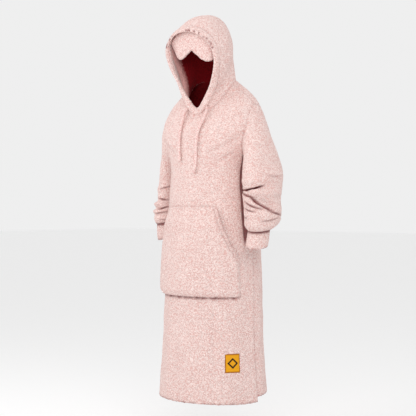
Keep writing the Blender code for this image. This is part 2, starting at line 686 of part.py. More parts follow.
def wall_mesh(name, outer, inner, tube=False):
    """Closed mesh between two grids, with a strip along every open edge."""
    rows, columns = outer.shape[:2]
    count = rows * columns
    index = np.arange(count).reshape(rows, columns)
    if tube:
        index = np.concatenate((index, index[:, :1]), axis=1)
    faces = []
    for r in range(rows - 1):
        for c in range(index.shape[1] - 1):
            quad = (index[r, c], index[r, c + 1], index[r + 1, c + 1], index[r + 1, c])
            faces.append(quad)
            faces.append(tuple(corner + count for corner in reversed(quad)))
    strips = [index[0], index[-1]]
    if not tube:
        strips += [index[:, 0], index[:, -1]]
    for strip in strips:
        for a, b in zip(strip[:-1], strip[1:]):
            faces.append((a, b, b + count, a + count))
    points = np.concatenate((outer.reshape(-1, 3), inner.reshape(-1, 3)))
    mesh = bpy.data.meshes.new(name)
    mesh.from_pydata(points.tolist(), [], [tuple(int(i) for i in face) for face in faces])
    work = bmesh.new()
    work.from_mesh(mesh)
    bmesh.ops.recalc_face_normals(work, faces=work.faces)
    work.to_mesh(mesh)
    work.free()
    mesh.validate()
    return mesh


def material(entry):
    """A plain material from its name, colour and roughness."""
    name, colour, roughness = entry
    made = bpy.data.materials.new(name)
    made.use_nodes = True
    made.diffuse_color = (*colour, 1.0)
    shader = made.node_tree.nodes["Principled BSDF"]
    shader.inputs["Base Color"].default_value = (*colour, 1.0)
    shader.inputs["Roughness"].default_value = roughness
    shader.inputs["Metallic"].default_value = 0.0
    return made


def add_object(name, data, entry, collection):
    """Adds an object with its own material to the robe's collection."""
    data.materials.append(material((f"{entry[0]}, {name}", *entry[1:])))
    made = bpy.data.objects.new(name, data)
    collection.objects.link(made)
    return made


def cord_curve(name, route):
    """A round cord through points read from a smooth curve along its route."""
    route = np.array(route)
    lengths = np.linalg.norm(np.diff(route, axis=0), axis=1)
    stations = np.concatenate(((0.0,), np.cumsum(lengths)))
    steps = int(round(stations[-1] / CORD_STEP))
    points = smooth_rows(stations, route, np.linspace(0, stations[-1], steps + 1))
    curve = bpy.data.curves.new(name, "CURVE")
    curve.dimensions = "3D"
    curve.bevel_depth = CORD_RADIUS
    curve.bevel_resolution = 2
    curve.use_fill_caps = True
    spline = curve.splines.new("POLY")
    spline.points.add(len(points) - 1)
    spline.points.foreach_set("co", np.column_stack((points, np.ones(len(points)))).ravel())
    return curve


def build():
    """Removes what is there, then adds every panel of the robe by name."""
    for old in list(bpy.data.objects):
        bpy.data.objects.remove(old, do_unlink=True)
    robe = bpy.data.collections.new("hooded_robe")
    bpy.context.scene.collection.children.link(robe)
    add_object("front", wall_mesh("front", *body_panel(FRONT_HALF_COLUMNS, 0.0)), FLEECE, robe)
    back = body_panel(BACK_HALF_COLUMNS, math.pi, BACK_HEM_STATION)
    add_object("back", wall_mesh("back", *back), FLEECE, robe)
    for side_name, side in (("left", 1), ("right", -1)):
        table, folds = SLEEVES[side]
        name = f"sleeve_{side_name}"
        add_object(name, wall_mesh(name, *sleeve(table, folds, side), tube=True), FLEECE, robe)
        name = f"cuff_{side_name}"
        add_object(name, wall_mesh(name, *cuff(table, side_name, side), tube=True), FLEECE_DEEP, robe)
        name = f"hood_{side_name}"
        add_object(name, wall_mesh(name, *hood_half(side)), FLEECE, robe)
        name = f"drawstring_{side_name}"
        add_object(name, cord_curve(name, CORD_ROUTES[side_name]), CORD_CLOTH, robe)
    add_object("hood_band", wall_mesh("hood_band", *hood_band(), tube=True), FLEECE_DEEP, robe)
    add_object("eye_mask", wall_mesh("eye_mask", *mask_grids()), FLEECE_DEEP, robe)
    add_object("pocket", wall_mesh("pocket", *pocket_grids()), FLEECE, robe)
    add_object("label", wall_mesh("label", *label_grids()), LABEL_CLOTH, robe)


build()
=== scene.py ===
"""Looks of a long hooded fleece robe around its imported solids, in metres with +Z up.

Every cloth piece is a thin shell on the form of its solid. The same tables give the same
surface on a finer grid, and the small creases, the seams and the fleece's nubs come on top.
"""

import math

import bpy
import numpy as np
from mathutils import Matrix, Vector


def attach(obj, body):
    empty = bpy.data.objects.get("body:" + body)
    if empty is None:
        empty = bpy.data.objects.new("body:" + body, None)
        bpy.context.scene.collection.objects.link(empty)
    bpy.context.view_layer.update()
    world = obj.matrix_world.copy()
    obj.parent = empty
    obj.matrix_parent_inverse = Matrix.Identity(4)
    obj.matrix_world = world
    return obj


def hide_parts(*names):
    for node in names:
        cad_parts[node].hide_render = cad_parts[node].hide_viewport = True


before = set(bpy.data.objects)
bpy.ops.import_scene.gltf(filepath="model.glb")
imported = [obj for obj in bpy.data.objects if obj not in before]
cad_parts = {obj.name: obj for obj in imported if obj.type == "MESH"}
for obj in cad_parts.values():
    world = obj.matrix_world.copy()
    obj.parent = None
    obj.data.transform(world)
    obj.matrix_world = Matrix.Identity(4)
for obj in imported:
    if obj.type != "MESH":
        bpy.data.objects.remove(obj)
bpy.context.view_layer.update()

# Camera: level, 40 degrees round to the wearer's left, 1000 px of focal length at 416 px
CAMERA_AZIMUTH = math.radians(40.0)
CAMERA_DISTANCE = 4.0
CAMERA_HEIGHT = -0.50
CAMERA_SLIDE = -0.020
CAMERA_LENS = 86.54

SIDES = (("left", 1), ("right", -1))
TINY = 1e-9

# Cloth sizes
WALL = 0.005
BAND_WALL = 0.0085
BAND_RISE = 0.002
BAND_PUFF = 0.003
BAND_PUFF_INSIDE = 0.004
CUFF_WALL = 0.007
POCKET_WALL = 0.005
LABEL_WALL = 0.0012
LYING_GAP = 0.0003
CORD_RADIUS = 0.0052
CORD_PLUMP = 1.12

# Fleece: large tufts and small nubs as cell sizes and heights, and the seams' dip
TUFT_CELL = 0.0110
TUFT_HEIGHT = 0.0014
TUFT_MEAN = 0.62
NUB_CELL = 0.0056
NUB_HEIGHT = 0.0010
SLACK_CELL = 0.055
SLACK_HEIGHT = 0.0016
SEAM_DIP = 0.0010
SEAM_REACH = 0.0042
LINING_HEIGHT = 0.0004
# Painted shade: a crease's depth for full shade, and the amounts in seams and along free edges
FULL_CREASE = 0.0055
SEAM_SHADE = 0.10
EDGE_ROUGHNESS = 0.0030
EDGE_REACH = 0.008
EDGE_SHADE = 0.80
EDGE_SHADE_REACH = 0.0062

# Rough sizes of the pieces, round and along, which close steps and creases go by
PANEL_ROUND = 0.60
SKIRT_LENGTH = 0.95
YOKE_LENGTH = 0.11
BODY_SPAN = (0.19, 1.24)
SLEEVE_LENGTH = 0.60
SLEEVE_SPAN = (0.075, SLEEVE_LENGTH)
HOOD_LENGTH = 0.32
POCKET_HEIGHT = 0.348
POCKET_WIDTH = 0.36
MASK_HEIGHT = 0.08

# Grid counts, and the close steps at an edge
CLOSE_STEPS = (0.0008, 0.0020, 0.0038)
PANEL_COLUMNS = 150
SKIRT_ROWS = 224
ARMHOLE_ROWS = 44
YOKE_ROWS = 26
SLEEVE_COLUMNS = 124
SLEEVE_ROWS = 168
CUFF_ROWS = 22
CUFF_COLUMNS = 104
HOOD_ROWS = 92
HOOD_COLUMNS = 140
BAND_ROWS = 14
POCKET_COLUMNS = 130
MASK_COLUMNS = 96
MASK_ROWS = 48
LABEL_STEPS = 20

# Rings of the body and the hood in millimetres: half_width, front_y, front_z, back_y,
# back_z, side_y, side_z, and narrow and round in thousandths. Narrow draws a ring's front
# part in, and round its back part.
NECK_RING = (102, -112, -150, 62, 2, 0, -10, 0, 0)
BODY_RINGS = (
    (226, -200, -1246, 196, -1240, 0, -1248, 0, 0),
    (221, -192, -1180, 190, -1180, 0, -1180, 0, 0),
    (209, -177, -1020, 177, -1020, 0, -1020, 0, 0),
    (206, -168, -840, 170, -840, 2, -840, 0, 0),
    (200, -160, -650, 162, -650, 2, -650, 0, 0),
    (189, -156, -470, 148, -470, 0, -470, 0, 0),
    (187, -153, -310, 137, -300, 0, -304, 0, 0),
    (220, -149, -258, 134, -225, 2, -228, 0, 0),
    (234, -144, -226, 128, -160, 4, -154, 0, 0),
    (204, -137, -200, 114, -100, 4, -90, 0, 0),
    (155, -125, -174, 90, -44, 2, -43, 0, 0),
    NECK_RING,
)
UNDERARM_ROW = 6
SHOULDER_ROW = 9
ARMHOLE_HALF_ANGLE = math.radians(27.0)
BACK_HEM_STATION = 0.016
HOOD_RINGS = (
    NECK_RING,
    (103, -110, -143, 62, 48, -10, 16, 80, 0),
    (117, -108, -136, 54, 112, -30, 40, 220, 20),
    (141, -106, -129, 46, 206, -56, 50, 400, 50),
    (162, -104, -121, -6, 264, -84, 54, 560, 80),
    (178, -101, -113, -88, 252, -108, 48, 700, 130),
    (186, -97, -106, -166, 186, -128, 38, 787, 160),
)
NECK_BLEND = 0.15
NECK_TILT = 0.05
HOOD_TILT = 0.10
BAND_WIDTH = 0.034
LENGTH_STEPS = 60

# Folds and creases: stations, and what is measured by them, in thousandths, angles in
# degrees, and depths, bows and the creases' widths in tenths of a millimetre
UPRIGHT_UNITS = np.array((1000, 1, 1000, 1, 1, 10000))
ROUND_UNITS = np.array((1, 1000, 1, 1000, 1000, 10000))
CREASE_UNITS = np.array((1, 1000, 1, 1000, 10000, 10000, 10000))
# Skirt folds run along the station: station, angle, reach, width, slant, depth
SKIRT_FOLDS = (
    (160, -58, 340, 9, 7, 45),
    (140, -24, 300, 8, -5, 35),
    (200, 8, 360, 9, 4, 35),
    (220, 33, 300, 6, 2, -45),
    (170, 49, 320, 9, -2, 45),
    (240, 78, 300, 8, 2, -50),
    (180, 102, 320, 9, 4, 50),
    (260, 131, 360, 10, -6, 45),
    (200, 163, 300, 9, 4, -40),
    (240, 196, 380, 11, -5, 50),
    (180, 229, 320, 9, 5, -45),
    (220, 257, 340, 9, -4, 45),
)
# Folds that run round by angle: angle, station, reach, width, slant, depth
CHEST_FOLDS = (
    (42, 842, 32, 22, 40, 22),
    (38, 800, 30, 20, 36, -20),
    (-40, 838, 30, 22, -38, 22),
    (-36, 796, 28, 20, -34, -20),
    (150, 820, 30, 22, -34, 50),
    (212, 800, 32, 22, 36, 50),
    (180, 880, 40, 20, 0, -45),
)

# Sleeve rings in millimetres: inner_x, inner_z, outer_x, outer_z, y, half_fore, and pitch
# in degrees
LEFT_SLEEVE = (
    (187, -304, 204, -90, 2, 62, 0),
    (194, -318, 234, -138, -4, 64, 0),
    (198, -334, 268, -208, -12, 74, 0),
    (200, -352, 305, -288, -20, 88, 2),
    (201, -378, 334, -366, -26, 94, 5),
    (204, -424, 334, -424, -28, 92, 8),
    (208, -474, 328, -478, -30, 90, 10),
    (212, -520, 338, -528, -34, 82, 10),
    (217, -564, 326, -574, -40, 68, 10),
    (226, -576, 310, -584, -44, 51, 10),
    (230, -566, 304, -574, -45, 43, 10),
)
RIGHT_SLEEVE = (
    (187, -304, 204, -90, 2, 62, 0),
    (194, -318, 232, -138, 10, 64, 0),
    (198, -334, 258, -208, 26, 68, 0),
    (200, -352, 282, -288, 38, 74, 0),
    (200, -378, 296, -366, 44, 76, 2),
    (202, -424, 300, -424, 44, 76, 4),
    (205, -474, 306, -478, 32, 74, 6),
    (208, -514, 308, -520, 20, 68, 6),
    (212, -546, 302, -552, 12, 57, 6),
    (219, -557, 296, -562, 8, 45, 6),
    (222, -547, 292, -552, 7, 39, 6),
)
SLEEVE_BLEND = 0.30
SEAM_STATION = 0.03
LEFT_SLEEVE_FOLDS = (
    (-40, 420, 100, 50, 30, -60),
    (-60, 505, 110, 30, 0, 90),
    (-85, 576, 75, 22, -18, -140),
    (-40, 618, 90, 26, 60, 80),
    (-55, 675, 100, 24, 150, -120),
    (-70, 740, 80, 28, 110, 60),
    (-60, 830, 110, 40, 20, 80),
    (110, 400, 60, 34, -40, -90),
    (115, 500, 60, 36, 30, 90),
    (120, 600, 60, 28, -30, -110),
    (115, 700, 60, 34, 30, 80),
)
RIGHT_SLEEVE_FOLDS = (
    (-20, 330, 90, 50, 40, -60),
    (-50, 600, 110, 40, -20, 60),
    (-95, 710, 90, 22, 15, -110),
    (-60, 755, 110, 26, 20, 90),
    (-100, 803, 90, 20, -8, -110),
    (-60, 835, 110, 22, 0, 70),
    (-105, 868, 80, 18, 0, -80),
    (115, 420, 60, 34, 30, -90),
    (110, 520, 60, 38, -20, 90),
    (120, 630, 60, 28, 20, -100),
)
SLEEVE_UNITS = np.array((1000,) * 6 + (1,))
SLEEVES = {
    1: (LEFT_SLEEVE / SLEEVE_UNITS, LEFT_SLEEVE_FOLDS),
    -1: (RIGHT_SLEEVE / SLEEVE_UNITS, RIGHT_SLEEVE_FOLDS),
}

# Cuffs
CUFF_LENGTH = 0.078
CUFF_SPREAD = 1.04
CUFF_SWELL = 0.003
CUFF_LINING = 0.6
CUFF_DRIFT = {1: (-0.006, -0.010), -1: (-0.004, 0.000)}

# Pocket edge at each height: z, angle, sewn
POCKET_EDGE = (
    (-0.494, 39, 0),
    (-0.555, 44, 0),
    (-0.613, 50.5, 0),
    (-0.662, 58, 0),
    (-0.686, 62.5, 0.1),
    (-0.706, 65.5, 0.5),
    (-0.73, 66.5, 1),
    (-0.78, 67, 1),
    (-0.842, 67.5, 1),
)
POCKET_ROWS = 96
POCKET_LIFT = 0.016
POCKET_TOP_RISE = 0.070
POCKET_BOTTOM_RISE = 0.022
POCKET_SIDE_RISE = 0.10
POCKET_TURN = 0.0065

# Eye mask edge: across, top_angle, bottom_z, bottom_y
MASK_HALF_WIDTH = 0.101
MASK_EDGE = (
    (0, 180, 0.114, -0.129),
    (0.22, 169, 0.099, -0.128),
    (0.45, 157, 0.083, -0.124),
    (0.68, 145, 0.076, -0.118),
    (0.88, 134, 0.083, -0.111),
    (1, 126, 0.097, -0.106),
)
MASK_SEAM_SHARE = 0.30
MASK_WALL = 0.011
MASK_EDGE_WALL = 0.004
MASK_SEAM_GAP = 0.0005
MASK_TILT = 0.14

# Label
LABEL_ANGLE = 57.0
LABEL_Z = -1.092
LABEL_WIDTH = 0.060
LABEL_HEIGHT = 0.072

# Routes of the drawstring's free ends in tenths of a millimetre, as in the solids' source
ROUTE_UNIT = 10000
CORD_STEP = 0.003
CORD_ROUTES = {
    "left": (
        (510, -996, -1067),
        (570, -1060, -1160),
        (560, -1160, -1370),
        (500, -1250, -1620),
        (440, -1405, -1950),
        (420, -1525, -2500),
        (420, -1550, -3000),
        (400, -1570, -3400),
        (310, -1590, -3660),
    ),
    "right": (
        (-459, -1013, -1059),
        (-510, -1080, -1130),
        (-540, -1160, -1340),
        (-540, -1250, -1600),
        (-510, -1405, -1970),
        (-470, -1525, -2500),
        (-410, -1565, -3000),
        (-390, -1580, -3180),
    ),
}


def add_object(name, data):
    """A new object in the scene, at the origin."""
    made = bpy.data.objects.new(name, data)
    bpy.context.scene.collection.objects.link(made)
    return made


def point(item, place, ahead):
    """Puts a camera or a light in its place, looking ahead with its top up."""
    item.location = place
    item.rotation_mode = "QUATERNION"
    item.rotation_quaternion = Vector(ahead).to_track_quat("-Z", "Y")


# Camera first
def add_camera():
    """Level camera at the photograph's angle."""
    back = Vector((math.sin(CAMERA_AZIMUTH), -math.cos(CAMERA_AZIMUTH), 0.0))
    right = Vector((math.cos(CAMERA_AZIMUTH), math.sin(CAMERA_AZIMUTH), 0.0))
    data = bpy.data.cameras.new("camera")
    data.lens = CAMERA_LENS
    data.sensor_width = 36.0
    camera = add_object("camera", data)
    place = back * CAMERA_DISTANCE + right * CAMERA_SLIDE + Vector((0, 0, CAMERA_HEIGHT))
    point(camera, place, -back)
    bpy.context.scene.camera = camera


add_camera()


# Smooth curves and soft shapes
def slopes(stations, values):
    """Slopes of a smooth curve through the rows, from the parabola through each three."""
    steps = np.diff(stations)[:, None]
    secants = np.diff(values, axis=0) / steps
    inner = (secants[:-1] * steps[1:] + secants[1:] * steps[:-1]) / (steps[1:] + steps[:-1])
    return np.vstack((secants[:1], inner, secants[-1:]))


def smooth_rows(stations, values, at):
    """Values at the stations asked for, on cubic curves through the table's rows."""
    stations = np.asarray(stations, float)
    values = np.asarray(values, float)
    at = np.clip(np.asarray(at, float), stations[0], stations[-1])
    tangents = slopes(stations, values)
    low = np.clip(np.searchsorted(stations, at, side="right") - 1, 0, len(stations) - 2)
    step = (stations[low + 1] - stations[low])[..., None]
    t = (at[..., None] - stations[low][..., None]) / step
    start = (1 + 2 * t) * (1 - t) ** 2 * values[low] + t * (1 - t) ** 2 * step * tangents[low]
    end = t**2 * (3 - 2 * t) * values[low + 1] + t**2 * (t - 1) * step * tangents[low + 1]
    return start + end


def soft_step(t):
    """0 at 0 and below, 1 at 1 and above, with level ends: 3t squared minus 2t cubed."""
    t = np.clip(t, 0.0, 1.0)
    return t * t * (3 - 2 * t)


def bell(t):
    """A bell curve: 1 at 0, and e to the power of minus t squared."""
    return np.exp(-(t**2))


def unit(vectors):
    """The same directions with length 1."""
    return vectors / np.linalg.norm(vectors, axis=-1, keepdims=True)


def lengths_along(points):
    """Lengths from each line's first point to all its points, along the first axis."""
    steps = np.linalg.norm(np.diff(points, axis=0), axis=-1)
    return np.concatenate((np.zeros_like(steps[:1]), np.cumsum(steps, axis=0)))


def turned_by(angle, degrees):
    """Angles in degrees from a given one, between -180 and 180."""
    return np.degrees(np.angle(np.exp(1j * (angle - math.radians(degrees)))))


def folds(table, angle, station, upright):
    """Sum of bell-shaped ridges that fade at their ends, upright or lying round by angle."""
    total = np.zeros(np.broadcast(station, angle).shape)
    units = UPRIGHT_UNITS if upright else ROUND_UNITS
    for first, second, reach, width, slant, depth in table / units:
        if upright:
            past, beside = station - first, turned_by(angle, second)
        else:
            past, beside = turned_by(angle, first), station - second
        along = past / reach
        apart = (beside - slant * along) / width
        total = total + depth * np.clip(1 - along**2, 0, 1) ** 2 * bell(apart)
    return total


def creases(table, angle, station, radius, length):
    """Height and painted shade of creases, each a bowed line between two points.

    The profile is a narrow trough, minus a bell curve of the width, with a soft rise of 0.4
    of the depth two widths to either side, and it fades at both ends as a sine. The painted
    shade is the same bell curve times the depth over that of a full crease: painted shade in
    the crease's trough.
    """
    total = np.zeros(np.broadcast(station, angle).shape)
    painted_shade = np.zeros_like(total)
    for start_angle, start, end_angle, end, bow, width, depth in table / CREASE_UNITS:
        run = np.array((math.radians(end_angle - start_angle) * radius, (end - start) * length))
        size = np.linalg.norm(run)
        run = run / size
        u = np.radians(turned_by(angle, start_angle)) * radius
        v = (station - start) * length
        t = (u * run[0] + v * run[1]) / size
        inside = np.clip(t, 0, 1)
        across = -u * run[1] + v * run[0] - bow * 4 * inside * (1 - inside)
        fade = np.sin(math.pi * inside) ** 0.7
        trough = -bell(across / width)
        shoulder = 0.4 * bell((np.abs(across) - 2 * width) / (1.2 * width))
        total = total + depth * fade * (trough + shoulder)
        painted_shade = np.maximum(painted_shade, -trough * fade * depth / FULL_CREASE)
    return total, np.clip(painted_shade, 0, 1)


# Repeatable randomness on a lattice
def lattice_random(corner, seed):
    """Three even numbers from 0 to 1 for every whole-number corner, from a fixed hash."""
    whole = corner.astype(np.int64).astype(np.uint64)
    mixed = whole[..., 0] * np.uint64(73856093) ^ whole[..., 1] * np.uint64(19349663)
    mixed = mixed ^ whole[..., 2] * np.uint64(83492791) ^ np.uint64(seed * 2654435761 % 2**32)
    numbers = []
    for shift in (13, 17, 11):
        mixed = (mixed ^ (mixed >> np.uint64(shift))) * np.uint64(0x9E3779B97F4A7C15)
        mixed = mixed ^ (mixed >> np.uint64(29))
        numbers.append((mixed >> np.uint64(40)).astype(float) / 2**24)
    return np.stack(numbers, axis=-1)


def tufts(points, cell, seed):
    """Rounded tufts: 1 minus the squared distance to the nearest random middle, in cells."""
    place = points / cell
    home = np.floor(place)
    nearest = np.full(points.shape[:-1], 1.0)
    for step in np.ndindex(3, 3, 3):
        corner = home + np.array(step) - 1
        apart = place - corner - lattice_random(corner, seed)
        nearest = np.minimum(nearest, (apart**2).sum(axis=-1))
    return 1 - nearest


def drifting(points, cell, seed):
    """Slow smooth unevenness from -1 to 1: random corner values blended by soft steps."""
    place = points / cell
    home = np.floor(place)
    share = soft_step(place - home)
    total = np.zeros(points.shape[:-1])
    for step in np.ndindex(2, 2, 2):
        weight = np.prod(np.where(np.array(step) == 1, share, 1 - share), axis=-1)
        total = total + weight * (2 * lattice_random(home + np.array(step), seed)[..., 0] - 1)
    return total


# Surfaces of the body and the hood
def ring_points(rows, angle):
    """Rings as a cosine between front and back, a sine across, and a sine squared at the sides."""
    half, front_y, front_z, back_y, back_z, side_y, side_z, narrow, rounded = np.moveaxis(rows, -1, 0)
    cosine = np.cos(angle)
    sine = np.sin(angle)
    front_share = (1 + cosine) / 2
    back_share = (1 - cosine) / 2
    x = half * sine * (1 - narrow * front_share) * (1 - rounded * back_share**3)
    y = (front_y + back_y) / 2 + cosine * (front_y - back_y) / 2
    z = (front_z + back_z) / 2 + cosine * (front_z - back_z) / 2
    y = y + sine**2 * (side_y - (front_y + back_y) / 2)
    z = z + sine**2 * (side_z - (front_z + back_z) / 2)
    return np.stack((x, y, z), axis=-1)


def ring_stations(rings):
    """Stations of the rings from 0 to 1, by the mean distance between neighbours."""
    angles = np.linspace(0, math.pi, 9)
    rows = np.repeat(rings[:, None, :], len(angles), axis=1)
    points = ring_points(rows, angles[None, :])
    gaps = np.linalg.norm(np.diff(points, axis=0), axis=-1).mean(axis=1)
    stations = np.concatenate(((0.0,), np.cumsum(gaps)))
    return stations / stations[-1]


BODY_RINGS = np.array(BODY_RINGS) / 1000
HOOD_RINGS = np.array(HOOD_RINGS) / 1000
BODY_STATIONS = ring_stations(BODY_RINGS)
HOOD_STATIONS = ring_stations(HOOD_RINGS)
UNDERARM = BODY_STATIONS[UNDERARM_ROW]
SHOULDER = BODY_STATIONS[SHOULDER_ROW]


def body_base(angle, station):
    """The body's rings along the station, whose neck leans a little to one side."""
    points = ring_points(smooth_rows(BODY_STATIONS, BODY_RINGS, station), angle)
    points[..., 2] -= NECK_TILT * points[..., 0] * soft_step((station - UNDERARM) / (1 - UNDERARM))
    return points


def hood_base(angle, station):
    """The hood's rings along the station, leaning a little to one side above the neck."""
    points = ring_points(smooth_rows(HOOD_STATIONS, HOOD_RINGS, station), angle)
    tilt = NECK_TILT + (HOOD_TILT - NECK_TILT) * soft_step(station / 0.6)
    points[..., 2] -= tilt * points[..., 0]
    return points


def outward(surface, angle, station):
    """Unit normals of a surface: the cross product of small steps round and up."""
    nudge = 0.002
    low = np.clip(station - nudge, 0, 1)
    high = np.clip(station + nudge, 0, 1)
    across = surface(angle + nudge, station) - surface(angle - nudge, station)
    up = surface(angle, high) - surface(angle, low)
    return unit(np.cross(across, up))


def body_surface(angle, station):
    """The body's rings moved out by its folds, which fade out towards the neck."""
    calm = soft_step((1 - station) / 0.10)
    height = folds(SKIRT_FOLDS, angle, station, True) + folds(CHEST_FOLDS, angle, station, False)
    height = height * calm
    return body_base(angle, station) + outward(body_base, angle, station) * height[..., None]


def body_normal(angle, station):
    """Unit normals of the body with its folds."""
    return outward(body_surface, angle, station)


def hood_normal(angle, station):
    """Unit normals of the hood."""
    return outward(hood_base, angle, station)


def armhole_share(station):
    """How far up the armhole this station lies, from 0 at the underarm to 1 on top."""
    return np.clip((station - UNDERARM) / (SHOULDER - UNDERARM), 0, 1)


def armhole_angle(station):
    """Half the angle that the armhole takes out of the body's ring: a half ellipse."""
    share = armhole_share(station)
    return ARMHOLE_HALF_ANGLE * 2 * np.sqrt(share * (1 - share))


def armhole_loop(turn, side):
    """Points and body normals round the armhole, turn 0 at the shoulder and pi below."""
    station = UNDERARM + (SHOULDER - UNDERARM) * (1 + np.cos(turn)) / 2
    sign = np.where(np.sin(turn) < 0, -1.0, 1.0)
    angle = side * (math.pi / 2 + sign * armhole_angle(station))
    return body_surface(angle, station), body_normal(angle, station)


# Surfaces of the sleeves
def sleeve_rings(rows, turn, side):
    """Rings between their inner and outer points: a cosine across and a sine fore and aft."""
    inner_x, inner_z, outer_x, outer_z, y, half_fore, pitch = np.moveaxis(rows, -1, 0)
    pitch = np.radians(pitch)
    out = np.cos(turn) / 2
    fore = half_fore * np.sin(turn)
    px = (inner_x + outer_x) / 2 + out * (outer_x - inner_x)
    py = y + fore * np.cos(pitch)
    pz = (inner_z + outer_z) / 2 + out * (outer_z - inner_z) + fore * np.sin(pitch)
    return np.stack((side * px, py, pz), axis=-1)


def sleeve_surface(table, ridges, side):
    """The sleeve's surface and normals: its rings, drawn to the armhole at the start, and folds.

    The stations of the rings go by the distance between their middles.
    """
    stations = lengths_along((table[:, 0:2] + table[:, 2:4]) / 2)
    stations = stations / stations[-1]

    def base(turn, station):
        rings = sleeve_rings(smooth_rows(stations, table, station), turn, side)
        start = sleeve_rings(np.broadcast_to(table[0], rings.shape[:-1] + (7,)), turn, side)
        seam, _ = armhole_loop(np.angle(np.exp(1j * turn)), side)
        return rings + (seam - start) * (1 - soft_step(station / SLEEVE_BLEND))[..., None]

    def height(turn, station):
        clear_of_body = 1 - 0.9 * bell(turned_by(turn, 180.0) / 55.0)
        calm = soft_step(station / 0.2) * soft_step((1 - station) / 0.08)
        return folds(ridges, turn, station, False) * clear_of_body * calm

    def surface(turn, station):
        return base(turn, station) - side * outward(base, turn, station) * height(turn, station)[..., None]

    return surface, lambda turn, station: -side * outward(surface, turn, station)


def armhole_normal(turn, side):
    """The direction that the body and the sleeve share along their seam."""
    _, normal_at = sleeve_surface(*SLEEVES[side], side)
    _, body_side = armhole_loop(turn, side)
    return unit(body_side + normal_at(turn, np.full_like(turn, SEAM_STATION)))


# Cloth on a surface
EDGES = {"first": (0, 1), "last": (0, -1), "left": (1, 1), "right": (1, -1)}


def from_edges(points, edges):
    """Distance of every point from the named edges, measured along the grid's own lines."""
    nearest = np.full(points.shape[:2], 1.0)
    for edge in edges:
        axis, step = EDGES[edge]
        lengths = lengths_along(np.moveaxis(points, axis, 0)[::step])[::step]
        nearest = np.minimum(nearest, np.moveaxis(lengths, 0, axis))
    return nearest


def closely(count, length, ends="both"):
    """Shares from 0 to 1, even but for three close steps of a few millimetres at an end."""
    close = np.array(CLOSE_STEPS) / length
    shares = np.linspace(0, 1, count + 1)
    if ends in ("both", "first"):
        shares = np.concatenate((close, shares[(shares == 0) | (shares > close[-1] * 1.4)]))
    if ends in ("both", "last"):
        shares = np.concatenate((1 - close, shares[(shares == 1) | (shares < 1 - close[-1] * 1.4)]))
    return np.unique(shares)


def cloth(outer, normal, wall, seams=(), free=(), nap=1.0, seed=1, painted_shade=0.0, edge_shade=EDGE_SHADE):
    """Outer and inner grids of fleece, and its painted shade, from 0 to 1, as how deep its pink is.

    The outer height is the sum of the tufts, the nubs and the slow slack, each about its
    mean, less a bell-shaped dip at the seams. At a free edge both sides draw to the wall's
    middle as a half circle, and the edge itself runs a little up and down.
    """
    height = TUFT_HEIGHT * (tufts(outer, TUFT_CELL, seed) - TUFT_MEAN)
    height = height + NUB_HEIGHT * (tufts(outer, NUB_CELL, seed + 7) - TUFT_MEAN)
    height = height * nap + SLACK_HEIGHT * drifting(outer, SLACK_CELL, seed + 3)
    sewn = bell(from_edges(outer, seams) / SEAM_REACH)
    height = height - SEAM_DIP * sewn
    under = LINING_HEIGHT * drifting(outer, SLACK_CELL / 4, seed + 5) - wall
    half = wall / 2
    from_free = from_edges(outer, free)
    share = np.clip(from_free / half, 0, 1)
    roundness = np.sqrt(np.clip(1 - (1 - share) ** 2, 0.02, 1))
    middle = (height + under) / 2
    height = middle + (height - middle) * roundness
    under = middle + (under - middle) * roundness
    frayed = EDGE_ROUGHNESS * bell(from_free / EDGE_REACH)
    lift = (frayed * (tufts(outer, TUFT_CELL, seed + 9) - 0.7))[..., None] * np.array((0.0, 0.0, 1.0))
    # Painted shade: a little in the seams' dip, and a rough band of painted shadow along free edges
    free_edge_shade = bell(from_free / EDGE_SHADE_REACH) * (0.5 + 0.5 * drifting(outer, TUFT_CELL, seed))
    painted_shade = np.clip(painted_shade + SEAM_SHADE * sewn + edge_shade * free_edge_shade, 0, 1)
    return outer + normal * height[..., None] + lift, outer + normal * under[..., None] + lift, painted_shade


def dress(node, outer, inner, painted_shade, materials, tube=False, depth=None):
    """Closed shell of quads on both grids and a strip along every open edge.

    The inner quads take the last material. The whole is turned round if its outer faces
    would look in. The painted shade is kept on the outer points, and the lining's depth on
    all. The piece rides on the robe and stands for its solid.
    """
    rows, columns = outer.shape[:2]
    count = rows * columns
    index = np.arange(count).reshape(rows, columns)
    if tube:
        index = np.concatenate((index, index[:, :1]), axis=1)
    corners = (index[:-1, :-1], index[:-1, 1:], index[1:, 1:], index[1:, :-1])
    quads = np.stack(corners, axis=-1).reshape(-1, 4)
    strips = [index[0, ::-1], index[-1]]
    if not tube:
        strips += [index[:, 0], index[::-1, -1]]
    rims = [np.stack((s[:-1], s[1:], s[1:] + count, s[:-1] + count), axis=-1) for s in strips]
    faces = np.concatenate((quads, quads[:, ::-1] + count, *rims))
    points = np.concatenate((outer.reshape(-1, 3), inner.reshape(-1, 3)))
    a, b, c, d = (points[quads[:, k]] for k in range(4))
    through = outer.reshape(-1, 3)[quads[:, 0]] - inner.reshape(-1, 3)[quads[:, 0]]
    if (np.cross(c - a, d - b) * through).sum() < 0:
        faces = faces[:, ::-1]
    mesh = bpy.data.meshes.new(f"{node}_cloth")
    mesh.from_pydata(points.tolist(), [], faces.tolist())
    slots = np.zeros(len(faces), np.int32)
    slots[len(quads) : 2 * len(quads)] = len(materials) - 1
    mesh.polygons.foreach_set("material_index", slots)
    mesh.polygons.foreach_set("use_smooth", np.ones(len(faces), bool))
    painted_shades = np.zeros((2, rows, columns), np.float32)
    painted_shades[0] = painted_shade
    mesh.attributes.new("painted_shade", "FLOAT", "POINT").data.foreach_set("value", painted_shades.ravel())
    if depth is not None:
        both = np.concatenate((depth.ravel(), depth.ravel())).astype(np.float32)
        mesh.attributes.new("depth", "FLOAT", "POINT").data.foreach_set("value", both)
    for one in materials:
        mesh.materials.append(one)
    mesh.update()
    piece = add_object(f"{node}_cloth", mesh)
    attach(piece, "root")
    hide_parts(node)
    return piece


